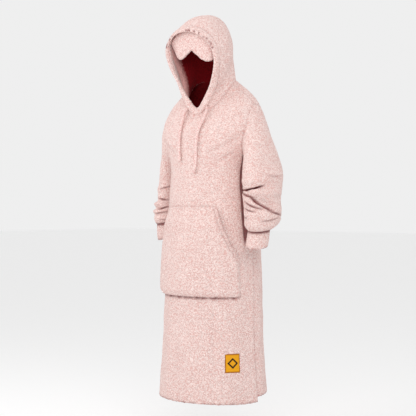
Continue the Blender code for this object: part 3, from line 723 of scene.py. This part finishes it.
# Materials
def linear(code):
    """Linear colour of an sRGB hex value."""
    shares = np.array([int(code[k : k + 2], 16) for k in (1, 3, 5)]) / 255
    values = np.where(shares <= 0.04045, shares / 12.92, ((shares + 0.055) / 1.055) ** 2.4)
    return (*values.tolist(), 1.0)


def fill(tree, node, inputs):
    """Sets a node's inputs: each a value, a node's output, or a node for its first output."""
    for key, value in inputs.items():
        if isinstance(value, bpy.types.Node):
            value = value.outputs[0]
        if isinstance(value, bpy.types.NodeSocket):
            tree.links.new(value, node.inputs[key])
        else:
            node.inputs[key].default_value = value


def add_node(tree, kind, inputs, stops=(), **settings):
    """Adds a node with its settings, its inputs and its colour ramp's stops."""
    made = tree.nodes.new(f"ShaderNode{kind}")
    for key, value in settings.items():
        setattr(made, key, value)
    for count, (place, code) in enumerate(stops):
        ramp = made.color_ramp.elements
        stop = ramp[count] if count < len(ramp) else ramp.new(place)
        stop.position = place
        stop.color = linear(code)
    fill(tree, made, inputs)
    return made


def new_material(name, roughness, sheen, sheen_roughness, sheen_tint):
    """A material with a plain shader, and what its nodes are added to."""
    made = bpy.data.materials.new(name)
    made.use_nodes = True
    shader = made.node_tree.nodes["Principled BSDF"]
    inputs = {
        "Roughness": roughness,
        "Sheen Weight": sheen,
        "Sheen Roughness": sheen_roughness,
        "Sheen Tint": linear(sheen_tint),
        "Specular IOR Level": 0.15,
    }
    fill(made.node_tree, shader, inputs)
    return made, made.node_tree, shader


# Real sizes of the patterns in metres
SWAY = 0.012
FIBRE = 0.0022
PATCH = 0.05
PILE = 0.007
# Deep pink of the painted shade in creases, seams, gaps and under edges
SHADE_PINK = "#7e3032"


def sherpa_fleece(name, pit_shade, body, tip_highlight, nub, bump):
    """Sherpa fleece: knitted polyester brushed into soft curled nubs of about 5 mm.

    The colour ramp paints the nubs' tips lighter and the pits between them a deeper pink:
    painted highlight and painted shade over the nubs. Smooth round cells, a little flattened
    as the knit's rows are, give the nubs and a fine noise gives the curled fibres on them. A
    point attribute of the cloth mixes in a deep pink: painted shade in creases and seams,
    beside the arms, under the pocket and along free edges.
    """
    made, tree, shader = new_material(name, 0.95, 0.30, 0.55, "#fff1ec")
    place = add_node(tree, "TexCoord", {}).outputs["Object"]
    sway = add_node(tree, "TexNoise", {"Vector": place, "Scale": 1 / SWAY, "Detail": 1.0})
    inputs = {0: SWAY, 4: place, 5: sway.outputs["Color"]}
    swayed = add_node(tree, "Mix", inputs, data_type="VECTOR", factor_mode="UNIFORM")
    flattened = add_node(tree, "Mapping", {"Vector": swayed.outputs[1], "Scale": (1.0, 1.0, 1.35)})
    inputs = {"Vector": flattened, "Scale": 1 / nub, "Smoothness": 0.2, "Randomness": 1.0}
    cells = add_node(tree, "TexVoronoi", inputs, feature="SMOOTH_F1")
    inputs = {"Vector": place, "Scale": 1 / FIBRE, "Detail": 2.0, "Roughness": 0.6}
    fibres = add_node(tree, "TexNoise", inputs)
    patches = add_node(tree, "TexNoise", {"Vector": place, "Scale": 1 / PATCH, "Detail": 2.0})
    high = add_node(tree, "MapRange", {"Value": cells, "From Min": 0.72, "From Max": 0.10})
    mixed = add_node(tree, "Math", {0: fibres, 1: 0.40, 2: high}, operation="MULTIPLY_ADD")
    tone = add_node(tree, "Math", {0: patches, 1: 0.20, 2: mixed}, operation="MULTIPLY_ADD")
    share = add_node(tree, "MapRange", {"Value": tone, "From Min": 0.30, "From Max": 1.50})
    # Lighter tips and deeper pits: painted highlight and painted shade over the nubs
    pinks = add_node(tree, "ValToRGB", {"Fac": share}, ((0.0, pit_shade), (0.40, body), (1.0, tip_highlight)))
    # Painted shade from the cloth's point attribute, mixed in as a deeper pink
    pressed_and_painted_shade = add_node(tree, "Attribute", {}, attribute_name="painted_shade").outputs["Fac"]
    inputs = {0: pressed_and_painted_shade, 6: pinks, 7: linear(SHADE_PINK)}
    with_painted_shade = add_node(tree, "Mix", inputs, data_type="RGBA").outputs[2]
    bumps = add_node(tree, "Bump", {"Height": mixed, "Distance": bump, "Strength": 0.9})
    fill(tree, shader, {"Base Color": with_painted_shade, "Normal": bumps})
    return made


def lining_with_painted_shade(name, deep, near):
    """Brushed knit lining: short pile, burgundy as painted shade of the hollow inside, which turns to the
    fleece's pink at the rim.

    The depth attribute says how far in from the rim a point is, and a soft noise breaks the
    change up.
    """
    made, tree, shader = new_material(name, 0.9, 0.15, 0.5, "#c08080")
    place = add_node(tree, "TexCoord", {}).outputs["Object"]
    depth = add_node(tree, "Attribute", {}, attribute_name="depth").outputs["Fac"]
    pile = add_node(tree, "TexNoise", {"Vector": place, "Scale": 1 / PILE, "Detail": 3.0})
    level = add_node(tree, "Math", {0: pile, 1: 0.7, 2: depth}, operation="MULTIPLY_ADD")
    share = add_node(tree, "MapRange", {"Value": level, "From Min": 0.25, "From Max": 1.12})
    # Pink near the rim to burgundy further in: painted shade of the hollow
    rim_pink_to_painted_shade = add_node(tree, "ValToRGB", {"Fac": share}, ((0.0, near), (1.0, deep)))
    bumps = add_node(tree, "Bump", {"Height": pile, "Distance": 0.004, "Strength": 0.7})
    fill(tree, shader, {"Base Color": rim_pink_to_painted_shade, "Normal": bumps})
    return made


def woven_label(name):
    """Woven satin label: golden polyester thread, with a plain rhombus woven in black.

    The pattern reads the label's own UV map, in which v runs up. The rhombus is where the
    distances from the middle, added together, lie between two values.
    """
    made, tree, shader = new_material(name, 0.55, 0.2, 0.4, "#ffe7a0")
    place = add_node(tree, "UVMap", {}, uv_map="label")
    apart = add_node(tree, "VectorMath", {0: place, 1: (0.5, 0.5, 0.0)}, operation="SUBTRACT")
    size = add_node(tree, "VectorMath", {0: apart}, operation="ABSOLUTE")
    parts = add_node(tree, "SeparateXYZ", {0: size}).outputs
    inputs = {0: parts["Y"], 1: 1.25, 2: parts["X"]}
    total = add_node(tree, "Math", inputs, operation="MULTIPLY_ADD")
    ring = add_node(tree, "Math", {0: total, 1: 0.290, 2: 0.070}, operation="COMPARE")
    inputs = {"Vector": place, "Scale": 22.0, "Distortion": 0.6}
    waves = add_node(tree, "TexWave", inputs, wave_type="BANDS", bands_direction="Y")
    threads = waves.outputs["Fac"]
    gold = add_node(tree, "ValToRGB", {"Fac": threads}, ((0.0, "#d98a08"), (1.0, "#f4b41c")))
    outermost = add_node(tree, "Math", {0: parts["X"], 1: parts["Y"]}, operation="MAXIMUM")
    hemmed = add_node(tree, "MapRange", {"Value": outermost, "From Min": 0.41, "From Max": 0.46})
    inputs = {0: hemmed, 6: gold, 7: linear("#a8640a")}
    hem = add_node(tree, "Mix", inputs, data_type="RGBA").outputs[2]
    inputs = {0: ring, 6: hem, 7: linear("#20180f")}
    woven = add_node(tree, "Mix", inputs, data_type="RGBA").outputs[2]
    bumps = add_node(tree, "Bump", {"Height": threads, "Distance": 0.0004, "Strength": 0.5})
    fill(tree, shader, {"Base Color": woven, "Normal": bumps})
    return made


FLEECE = sherpa_fleece("pink sherpa fleece", "#dcb1aa", "#fae0da", "#fff3ee", 0.0050, 0.0024)
MASK_FLEECE = sherpa_fleece(
    "pink sherpa fleece, short pile", "#d9aca6", "#f4dad4", "#fbece7", 0.0048, 0.0016
)
CORD_FLEECE = sherpa_fleece("pink sherpa fleece cord", "#dfada8", "#fae0da", "#fff3ee", 0.0040, 0.0014)
# The lining's burgundy is painted shade in the hollows; its pink near the rim is deepened for the shade
# there too
LINING = lining_with_painted_shade("burgundy lining, painted shade", "#800b13", "#fbc4bd")
LABEL = woven_label("golden woven label")


# Drawstring ends
def drawstring(side_name):
    """A round fleece cord carried along its route, a little thicker at its rounded end.

    Its radius is the cord's radius, swollen by a bell curve near the free end and closed by
    a half circle at both ends, with nubs on it.
    """
    route = np.array(CORD_ROUTES[side_name]) / ROUTE_UNIT
    stations = lengths_along(route)
    total = stations[-1]
    close = CORD_RADIUS * (1 - np.cos(np.linspace(0, math.pi / 2, 6)))
    middle = np.linspace(CORD_RADIUS, total - CORD_RADIUS, int(total / CORD_STEP))
    along = np.concatenate((close[:-1], middle, total - close[-2::-1]))
    path = smooth_rows(stations, route, along)
    tangent = unit(np.gradient(path, axis=0))
    tangent[:6] = tangent[6]
    tangent[-6:] = tangent[-7]
    across = unit(np.cross(tangent, (0.0, 1.0, 0.0)))
    ahead = np.cross(across, tangent)
    from_end = np.minimum(along, total - along)
    closing = np.sqrt(np.clip(1 - (1 - np.clip(from_end / CORD_RADIUS, 0, 1)) ** 2, 0.004, 1))
    swell = 1 + 0.10 * bell((total - along - 0.010) / 0.009)
    turn = np.linspace(0, 2 * math.pi, 25)[None, :-1]
    crease = 1 - 0.05 * np.exp(-((turn - 2.2) ** 2) * 9)
    radius = (CORD_PLUMP * CORD_RADIUS * swell * closing)[:, None] * crease
    ring = np.cos(turn)[..., None] * across[:, None] + np.sin(turn)[..., None] * ahead[:, None]
    outer = path[:, None] + ring * radius[..., None]
    outer = outer + ring * (0.0006 * (tufts(outer, 0.0045, 31) - 0.5) * closing[:, None])[..., None]
    inner = path[:, None] + ring * (radius * 0.3)[..., None]
    name = f"drawstring_{side_name}"
    piece = dress(name, outer, inner, 0.0, [CORD_FLEECE], tube=True)


drawstring("left")
drawstring("right")


# Body panels
def body_rows():
    """Stations of the rows: close at the hem, then even, and bunched as an arc by the armhole."""
    skirt = closely(SKIRT_ROWS, SKIRT_LENGTH, "first") * UNDERARM
    turn = np.linspace(0, math.pi, ARMHOLE_ROWS + 1)[1:]
    armhole = UNDERARM + (SHOULDER - UNDERARM) * (1 - np.cos(turn)) / 2
    yoke = SHOULDER + (1 - SHOULDER) * closely(YOKE_ROWS, YOKE_LENGTH, "last")[1:]
    return np.concatenate((skirt, armhole, yoke))


# Creases of the body: start_angle, start, end_angle, end, bow, width, depth
BODY_CREASES = (
    (64, 850, 22, 775, 40, 90, 30),
    (70, 800, 36, 730, -40, 80, 28),
    (-62, 850, -24, 780, 40, 90, 26),
    (33, 330, 35, 60, 30, 70, 26),
    (120, 800, 160, 740, 40, 90, 30),
    (236, 810, 205, 740, -40, 90, 30),
)


# Painted shade in the body's creases, and a painted shadow under the pocket's bottom edge
BODY_CREASE_SHADE = 0.12
POCKET_SHADE = 0.85
POCKET_SHADE_REACH = 0.0060


# Where a hanging sleeve covers the body: station, and how far to front and back of its side
ARM_COVER = {
    1: (
        (0.47, 15.5, -4),
        (0.491, 16, -4),
        (0.566, 17.3, -4),
        (0.61, 17.8, -2),
        (0.672, 18, 8),
        (0.754, 14.5, 10),
        (0.84, 18, 10),
    ),
    -1: (
        (0.47, 2, 6),
        (0.566, 2, 8),
        (0.62, 2, 16),
        (0.84, 3, 16),
    ),
}
ARM_COVER_BLEND = 2.6
CUFF_STATION = 0.478
PIT_STATION = 0.850
UNDER_ARM_DEPTH = 0.0080
# Painted shade in the gap beside the arms
UNDER_ARM_SHADE = 0.85


def under_arm(angle, station):
    """How far the body is pressed in beside the arms, and painted in shade there: 1 under a sleeve, 0
    where none hangs.
    """
    total = np.zeros(angle.shape)
    for side, rows in ARM_COVER.items():
        rows = np.array(rows)
        past = side * turned_by(angle, side * 90.0)
        front = np.interp(station, rows[:, 0], rows[:, 1])
        back = np.interp(station, rows[:, 0], rows[:, 2])
        before = soft_step((front + past + 1) / ARM_COVER_BLEND)
        behind = soft_step((back - past + 1) / ARM_COVER_BLEND)
        total = np.maximum(total, before * behind)
    return total * soft_step((station - CUFF_STATION) / 0.03) * soft_step((PIT_STATION - station) / 0.06)


def body_panel(middle_angle, hem_station):
    """The front, or the back where the middle angle is pi, from hem to neck."""
    stations = body_rows()[:, None]
    stations = stations + hem_station * np.clip(1 - stations / UNDERARM, 0, 1)
    share = 2 * closely(PANEL_COLUMNS, PANEL_ROUND)[None, :] - 1
    reach = math.pi / 2 - armhole_angle(stations)
    angles = middle_angle + share * reach
    beside = (stations[:, 0] > UNDERARM - TINY) & (stations[:, 0] < SHOULDER + TINY)
    stations = np.broadcast_to(stations, angles.shape)
    outer = body_surface(angles, stations)
    normal = body_normal(angles, stations)
    facing = -1 if middle_angle == 0 else 1
    turn = facing * np.arccos(2 * armhole_share(stations[beside, 0]) - 1)
    for step, columns_in in ((1, range(0, 8)), (-1, range(-1, -9, -1))):
        side = facing * step
        shared = armhole_normal(turn, side)
        for count, column in enumerate(columns_in):
            weight = 1 - count / 8
            normal[beside, column] = unit(weight * shared + (1 - weight) * normal[beside, column])
    height, painted_shade = creases(BODY_CREASES, angles, stations, *BODY_SPAN)
    pressed_and_painted_shade = under_arm(angles, stations)
    outer = outer + normal * (height - UNDER_ARM_DEPTH * pressed_and_painted_shade)[..., None]
    seams = ("last", "left", "right")
    # Painted shade: a little in the creases, strong beside the arms, and a painted shadow under the pocket
    painted_shade = np.maximum(BODY_CREASE_SHADE * painted_shade, UNDER_ARM_SHADE * pressed_and_painted_shade)
    below = (outer[..., 2] - POCKET_EDGE[-1][0]) / POCKET_SHADE_REACH
    beneath = soft_step((POCKET_EDGE[-1][1] - np.abs(turned_by(angles, 0.0))) / 4.0)
    shade = POCKET_SHADE * beneath * bell(below + 0.5)
    painted_shade = np.maximum(painted_shade, shade * (0.75 + 0.5 * drifting(outer, TUFT_CELL, 17)))
    return cloth(outer, normal, WALL, seams, ("first",), seed=2 + facing, painted_shade=painted_shade), outer


def add_body():
    """Front and back, whose inside turns to the lining's burgundy painted shade within 3 cm of the hem."""
    for name, middle, hem in (("front", 0.0, 0.0), ("back", math.pi, BACK_HEM_STATION)):
        grids, flat = body_panel(middle, hem)
        deep = np.clip(from_edges(flat, ("first",)) / 0.03, 0, 1)
        piece = dress(name, *grids, [FLEECE, LINING], depth=deep)


add_body()


# Hood
def band_station(angles):
    """Station of the band's seam at these angles, a band's width short of the opening."""
    stations = np.linspace(0, 1, LENGTH_STEPS + 1)
    lengths = lengths_along(hood_base(*np.broadcast_arrays(angles[None, :], stations[:, None])))
    return np.array([np.interp(row[-1] - BAND_WIDTH, row, stations) for row in lengths.T])


def add_hood():
    """Two halves from the neck's seam to the band's seam, joined along the middle of the top."""
    for side_name, side in SIDES:
        angles = side * math.pi * closely(HOOD_COLUMNS, PANEL_ROUND)
        stations = closely(HOOD_ROWS, HOOD_LENGTH)[:, None] * band_station(angles)[None, :]
        angles, stations = np.broadcast_arrays(angles[None, :], stations)
        outer = hood_base(angles, stations)
        blend = soft_step(stations / NECK_BLEND)[..., None]
        neck = body_normal(angles, np.ones_like(angles))
        normal = unit((1 - blend) * neck + blend * hood_normal(angles, stations))
        # Painted shade inside the hood: the lining turns towards burgundy from 18 mm in from the rim
        deep = np.clip((from_edges(outer, ("last",)) - 0.018) / 0.040, 0, 1)
        grids = cloth(outer, normal, WALL, EDGES, seed=11 + side)
        name = f"hood_{side_name}"
        piece = dress(name, *grids, [FLEECE, LINING], depth=deep)


def add_hood_band():
    """A soft double roll round the opening, whose free edge is blunt as a fourth-power arch.

    It is thicker inside too, but for the part where the mask lies against it, and along its
    rim above the mask it has painted shade in rough spots.
    """
    angles = np.linspace(0, 2 * math.pi, 2 * HOOD_COLUMNS + 1)[:-1]
    share = closely(BAND_ROWS, BAND_WIDTH)[:, None]
    seam = band_station(angles)[None, :]
    stations = seam + (1 - seam) * share
    angles, stations = np.broadcast_arrays(angles[None, :], stations)
    share = np.broadcast_to(share, angles.shape)
    normal = hood_normal(angles, stations)
    soft = 4 * share * (1 - share)
    roll = np.where(share < 0.5, soft, np.sqrt(1 - (2 * share - 1) ** 4))
    outer = hood_base(angles, stations) + normal * (roll * (BAND_RISE + BAND_PUFF))[..., None]
    from_top = np.abs(turned_by(angles, 180.0))
    inside = BAND_PUFF_INSIDE * soft_step((from_top - 58) / 12)
    wall = WALL + (BAND_WALL + BAND_PUFF - WALL) * roll + inside * soft
    beside = soft_step((66 - from_top) / 10)
    rim = bell((from_edges(outer, ("last",)) - 0.003) / 0.007)
    # Painted shade in rough spots along the rim above the mask
    painted_shade = 0.8 * beside * rim * np.clip(0.1 + 1.7 * drifting(outer, 0.007, 27), 0, 1)
    grids = cloth(outer, normal, wall, ("first",), ("last",), seed=21, painted_shade=painted_shade, edge_shade=0.0)
    piece = dress("hood_band", *grids, [FLEECE], tube=True)


add_hood()
add_hood_band()


# Sleeves and cuffs
LEFT_CREASES = (
    (-150, 596, -34, 556, 20, 56, 84),
    (-110, 590, -40, 560, 10, 40, 40),
    (-146, 608, -66, 655, -30, 46, 62),
    (-88, 632, -10, 802, -30, 52, 85),
    (-34, 770, 34, 856, 40, 46, 56),
    (-112, 668, -40, 762, 20, 46, 56),
    (-120, 745, -64, 781, 0, 40, 48),
    (-56, 868, 14, 861, 20, 40, 34),
    (-124, 845, -96, 830, 20, 40, 34),
    (-40, 470, 20, 500, 40, 60, 18),
    (40, 470, 140, 515, 40, 52, 46),
    (70, 600, 160, 560, -40, 50, 50),
    (36, 690, 150, 650, 30, 48, 46),
    (60, 740, 130, 800, -30, 46, 44),
    (24, 870, 120, 885, 40, 44, 36),
)
RIGHT_CREASES = (
    (-56, 690, -152, 730, 30, 46, 46),
    (-66, 812, -152, 786, -20, 46, 50),
    (-62, 864, -152, 851, 20, 40, 36),
    (-96, 924, -152, 946, 0, 36, 30),
    (-150, 560, -70, 600, 30, 52, 34),
    (-44, 560, 30, 600, -40, 50, 36),
    (20, 500, 120, 545, 30, 50, 44),
    (60, 640, 150, 610, -30, 48, 46),
    (-20, 735, 90, 700, 40, 46, 40),
    (50, 790, 150, 825, 30, 44, 42),
    (-30, 880, 70, 868, 20, 40, 32),
)
SLEEVE_CREASES = {1: LEFT_CREASES, -1: RIGHT_CREASES}


# Painted shade beside the sleeve's gathered seam above the cuff
GATHER_SHADE = 0.85
GATHER_REACH = 0.0055
GATHER_WIDTHS = {"first": 0.0150, "last": 0.0120}


def gather_shade(outer, edge):
    """Painted shade beside a gathered seam, as a deeper pink: full for its width, then a bell curve."""
    past = np.maximum(from_edges(outer, (edge,)) - GATHER_WIDTHS[edge], 0)
    return GATHER_SHADE * bell(past / GATHER_REACH)


def add_sleeves():
    """Tubes from the armhole to the cuff's seam, with their folds and creases."""
    for side_name, side in SIDES:
        surface, normal_at = sleeve_surface(*SLEEVES[side], side)
        turns = np.linspace(0, 2 * math.pi, SLEEVE_COLUMNS + 1)[:-1]
        turns, stations = np.meshgrid(turns, closely(SLEEVE_ROWS, SLEEVE_LENGTH))
        outer = surface(turns, stations)
        seam_normal = armhole_normal(np.angle(np.exp(1j * turns[0])), side)
        blend = soft_step(stations / 0.10)[..., None]
        normal = unit((1 - blend) * seam_normal[None] + blend * normal_at(turns, stations))
        height, painted_shade = creases(SLEEVE_CREASES[side], turns, stations, *SLEEVE_SPAN)
        outer = outer + normal * height[..., None]
        # Painted shade in the creases and beside the gathered seam at the cuff
        painted_shade = painted_shade + gather_shade(outer, "last")
        grids = cloth(outer, normal, WALL, ("first", "last"), seed=41 + side, painted_shade=painted_shade)
        name = f"sleeve_{side_name}"
        # Painted shade: the sleeve's whole inside takes the lining's burgundy
        deep = np.ones_like(stations)
        piece = dress(name, *grids, [FLEECE, LINING], tube=True, depth=deep)


def add_cuffs():
    """Double tubes below the sleeve's last ring, a little wider at the hand."""
    for side_name, side in SIDES:
        last = SLEEVES[side][0][-1]
        drift_x, drift_y = CUFF_DRIFT[side]
        turns = np.linspace(0, 2 * math.pi, CUFF_COLUMNS + 1)[None, :-1]
        turns, share = np.broadcast_arrays(turns, closely(CUFF_ROWS, CUFF_LENGTH)[:, None])
        rows = np.broadcast_to(last, share.shape + (7,)).copy()
        spread = 1 + (CUFF_SPREAD - 1) * share
        swell = CUFF_SWELL * np.sin(math.pi * np.clip(share, 0, 1)) ** 0.5
        half_x = (last[2] - last[0]) / 2 * spread
        middle_x = (last[2] + last[0]) / 2 + drift_x * share
        rows[..., 0] = middle_x - half_x - swell
        rows[..., 2] = middle_x + half_x + swell
        rows[..., (1, 3)] -= (LYING_GAP + CUFF_LENGTH * share)[..., None]
        rows[..., 4] += drift_y * share
        rows[..., 5] = last[5] * spread + swell
        outer = sleeve_rings(rows, turns, side)
        middle = outer.mean(axis=1, keepdims=True)
        normal = unit((outer - middle) * np.array((1.0, 1.0, 0.1)))
        # Painted shade beside the gathered seam at the cuff's top
        painted_shade = gather_shade(outer, "first")
        grids = cloth(outer, normal, CUFF_WALL, ("first",), ("last",), seed=51 + side, painted_shade=painted_shade)
        name = f"cuff_{side_name}"
        # Painted shade inside the cuff: the lining's burgundy at 0.6 of its depth
        deep = np.full(share.shape, CUFF_LINING)
        piece = dress(name, *grids, [FLEECE, LINING], tube=True, depth=deep)


add_sleeves()
add_cuffs()


# Pocket, label and mask
def station_of_level(level):
    """Body station whose ring's front point lies at this height, on the skirt."""
    fine = np.linspace(0, UNDERARM, 400)
    heights = body_base(np.zeros_like(fine), fine)[:, 2]
    return np.interp(level, heights, fine)


def add_pocket():
    """The front's own surface moved out: sewn flat on top, standing off at its openings."""
    edge = np.array(POCKET_EDGE)
    levels = edge[0, 0] + (edge[-1, 0] - edge[0, 0]) * closely(POCKET_ROWS, POCKET_HEIGHT)
    rows = smooth_rows(-edge[:, 0], edge, -levels)
    share = 2 * closely(POCKET_COLUMNS, POCKET_WIDTH)[None, :] - 1
    angles = np.radians(rows[:, 1])[:, None] * share
    stations = np.broadcast_to(station_of_level(levels)[:, None], angles.shape)
    surface = body_surface(angles, stations)
    normal = body_normal(angles, stations)
    rise = soft_step((edge[0, 0] - levels) / POCKET_TOP_RISE)
    rise = rise * np.sqrt(np.clip((levels - edge[-1, 0]) / POCKET_BOTTOM_RISE, 0, 1))
    beside = soft_step((1 - np.abs(share)) / POCKET_SIDE_RISE)
    sewn = np.clip(rows[:, 2], 0, 1)[:, None]
    lift = POCKET_LIFT * rise[:, None] * (1 - sewn * (1 - beside))
    outer = surface + normal * (2 * LYING_GAP + lift + POCKET_WALL)[..., None]
    from_side = from_edges(outer, ("left", "right"))
    stitched = bell((from_side - 0.015) / 0.0035) * (1 - sewn)
    turned_in = POCKET_TURN * bell(from_side / 0.012) * (1 - sewn) * rise[:, None]
    outer = outer - normal * (0.0014 * stitched + turned_in)[..., None]
    free = ("last", "left", "right")
    # Painted shadow along the bottom edge, and a lighter painted shade along the open sides
    low = from_edges(outer, ("last",)) < 0.02
    edge_shade = EDGE_SHADE * np.where(low, 1.0, 0.35 * (1 - sewn))
    # Painted shade along the stitching's dip
    painted_shade = 0.22 * stitched
    grids = cloth(outer, normal, POCKET_WALL, ("first",), free, seed=61, painted_shade=painted_shade, edge_shade=edge_shade)
    piece = dress("pocket", *grids, [FLEECE])


def add_label():
    """The front's surface moved out under the label, with a UV map over its face."""
    middle = station_of_level(LABEL_Z)
    angle = math.radians(LABEL_ANGLE)
    nudge = 0.01
    ends = body_surface(np.array((angle + nudge, angle - nudge)), middle)
    per_radian = np.linalg.norm(ends[0] - ends[1]) / (2 * nudge)
    share = np.linspace(-0.5, 0.5, LABEL_STEPS + 1)
    angles = angle + share[None, :] * LABEL_WIDTH / per_radian
    stations = station_of_level(LABEL_Z + share[:, None] * LABEL_HEIGHT)
    angles, stations = np.broadcast_arrays(angles, stations)
    normal = body_normal(angles, stations)
    height, _ = creases(BODY_CREASES, angles, stations, *BODY_SPAN)
    inner = body_surface(angles, stations) + normal * (2 * LYING_GAP + height)[..., None]
    edge = np.clip(from_edges(inner, EDGES) / 0.004, 0, 1)
    outer = inner + normal * (LABEL_WALL * (0.45 + 0.55 * np.sqrt(edge)))[..., None]
    piece = dress("label", outer, inner, 0.0, [LABEL])
    layer = piece.data.uv_layers.new(name="label")
    across, up = np.meshgrid(share + 0.5, share + 0.5)
    spread = np.stack((across, up), axis=-1).reshape(-1, 2)
    spread = np.concatenate((spread, spread))
    corners = np.zeros(len(piece.data.loops), np.int32)
    piece.data.loops.foreach_get("vertex_index", corners)
    layer.data.foreach_set("uv", spread[corners].ravel())


def add_mask():
    """A padded flap between its sewn top and its two lobes, plump as fourth-power arches."""
    edge = np.array(MASK_EDGE)
    share = 2 * closely(MASK_COLUMNS, 2 * MASK_HALF_WIDTH) - 1
    _, top_angle, bottom_z, bottom_y = smooth_rows(edge[:, 0], edge, np.abs(share)).T
    angles = np.where(share < 0, 2 * math.pi - np.radians(top_angle), np.radians(top_angle))
    seam = band_station(angles)
    stations = seam + (1 - seam) * MASK_SEAM_SHARE
    depth = BAND_WALL - BAND_RISE + MASK_SEAM_GAP + MASK_EDGE_WALL / 2
    top = hood_base(angles, stations) - depth * hood_normal(angles, stations)
    x = MASK_HALF_WIDTH * share
    bottom = np.stack((x, bottom_y, bottom_z - MASK_TILT * x), axis=-1)
    down = closely(MASK_ROWS, MASK_HEIGHT)[:, None, None]
    middle = top + (bottom - top) * down
    plump = np.sqrt(1 - share**4)[None, :, None] * np.sqrt(1 - (2 * down - 1) ** 4)
    half_wall = (MASK_EDGE_WALL + (MASK_WALL - MASK_EDGE_WALL) * plump) / 2
    facing = unit(np.stack((0.55 * x, np.full_like(x, -MASK_HALF_WIDTH), 0 * x), axis=-1))
    facing = np.broadcast_to(facing, middle.shape)
    outer = middle + facing * half_wall
    wall = 2 * half_wall[..., 0]
    from_seam = from_edges(outer, ("first",))
    from_ends = from_edges(outer, ("left", "right"))
    # Painted shade in rough spots along the sewn top, and at both ends beside the band
    mask_gather_shade = bell(from_seam / 0.0075) * np.clip(0.25 + 1.6 * drifting(outer, 0.007, 76), 0, 1)
    ends = 0.45 * bell(from_ends / 0.012)
    free = ("last", "left", "right")
    painted_shade = np.maximum(mask_gather_shade, ends)
    grids = cloth(outer, facing, wall, ("first",), free, nap=0.6, seed=71, painted_shade=painted_shade, edge_shade=0.2)
    piece = dress("eye_mask", *grids, [MASK_FLEECE])


add_pocket()
add_label()
add_mask()


# Floor and light
FLOOR_LEVEL = -1.44
FLOOR_REACH = 30.0
FLOOR_CORNERS = ((-1, -1), (1, -1), (1, 1), (-1, 1))
FLOOR_GLOW = 0.072


def add_floor():
    """A wide pale floor, lit a little from below as a light table."""
    corners = [(x * FLOOR_REACH, y * FLOOR_REACH, FLOOR_LEVEL) for x, y in FLOOR_CORNERS]
    mesh = bpy.data.meshes.new("floor")
    mesh.from_pydata(corners, [], [(0, 1, 2, 3)])
    made, tree, shader = new_material("pale studio floor", 0.9, 0.0, 0.5, "#ffffff")
    glow = {"Emission Color": linear("#ffffff"), "Emission Strength": FLOOR_GLOW}
    fill(tree, shader, {"Base Color": linear("#f7f7f7"), **glow})
    mesh.materials.append(made)
    add_object("floor", mesh)


def add_softbox(name, place, aim, size, watts):
    """A square softbox, which shines from its place towards its aim."""
    data = bpy.data.lights.new(name, "AREA")
    data.energy = watts
    data.size = size
    point(add_object(name, data), place, Vector(aim) - Vector(place))


def add_world():
    """Even pale backdrop to the camera, and a weaker even light on everything."""
    world = bpy.data.worlds.new("studio")
    world.use_nodes = True
    tree = world.node_tree
    seen = add_node(tree, "LightPath", {}).outputs["Is Camera Ray"]
    level = add_node(tree, "MapRange", {"Value": seen, "To Min": SKY_LIGHT, "To Max": BACKDROP})
    fill(tree, tree.nodes["Background"], {"Color": linear("#ffffff"), "Strength": level})
    bpy.context.scene.world = world


BACKDROP = 0.862
SKY_LIGHT = 0.81

add_floor()
add_world()
add_softbox("key", (1.60, -1.80, 0.75), (0.0, 0.0, -0.05), 1.6, 21.0)
add_softbox("fill", (-1.50, -1.70, 0.80), (0.0, 0.0, -0.05), 1.6, 16.0)
bpy.context.scene.view_settings.view_transform = "Standard"
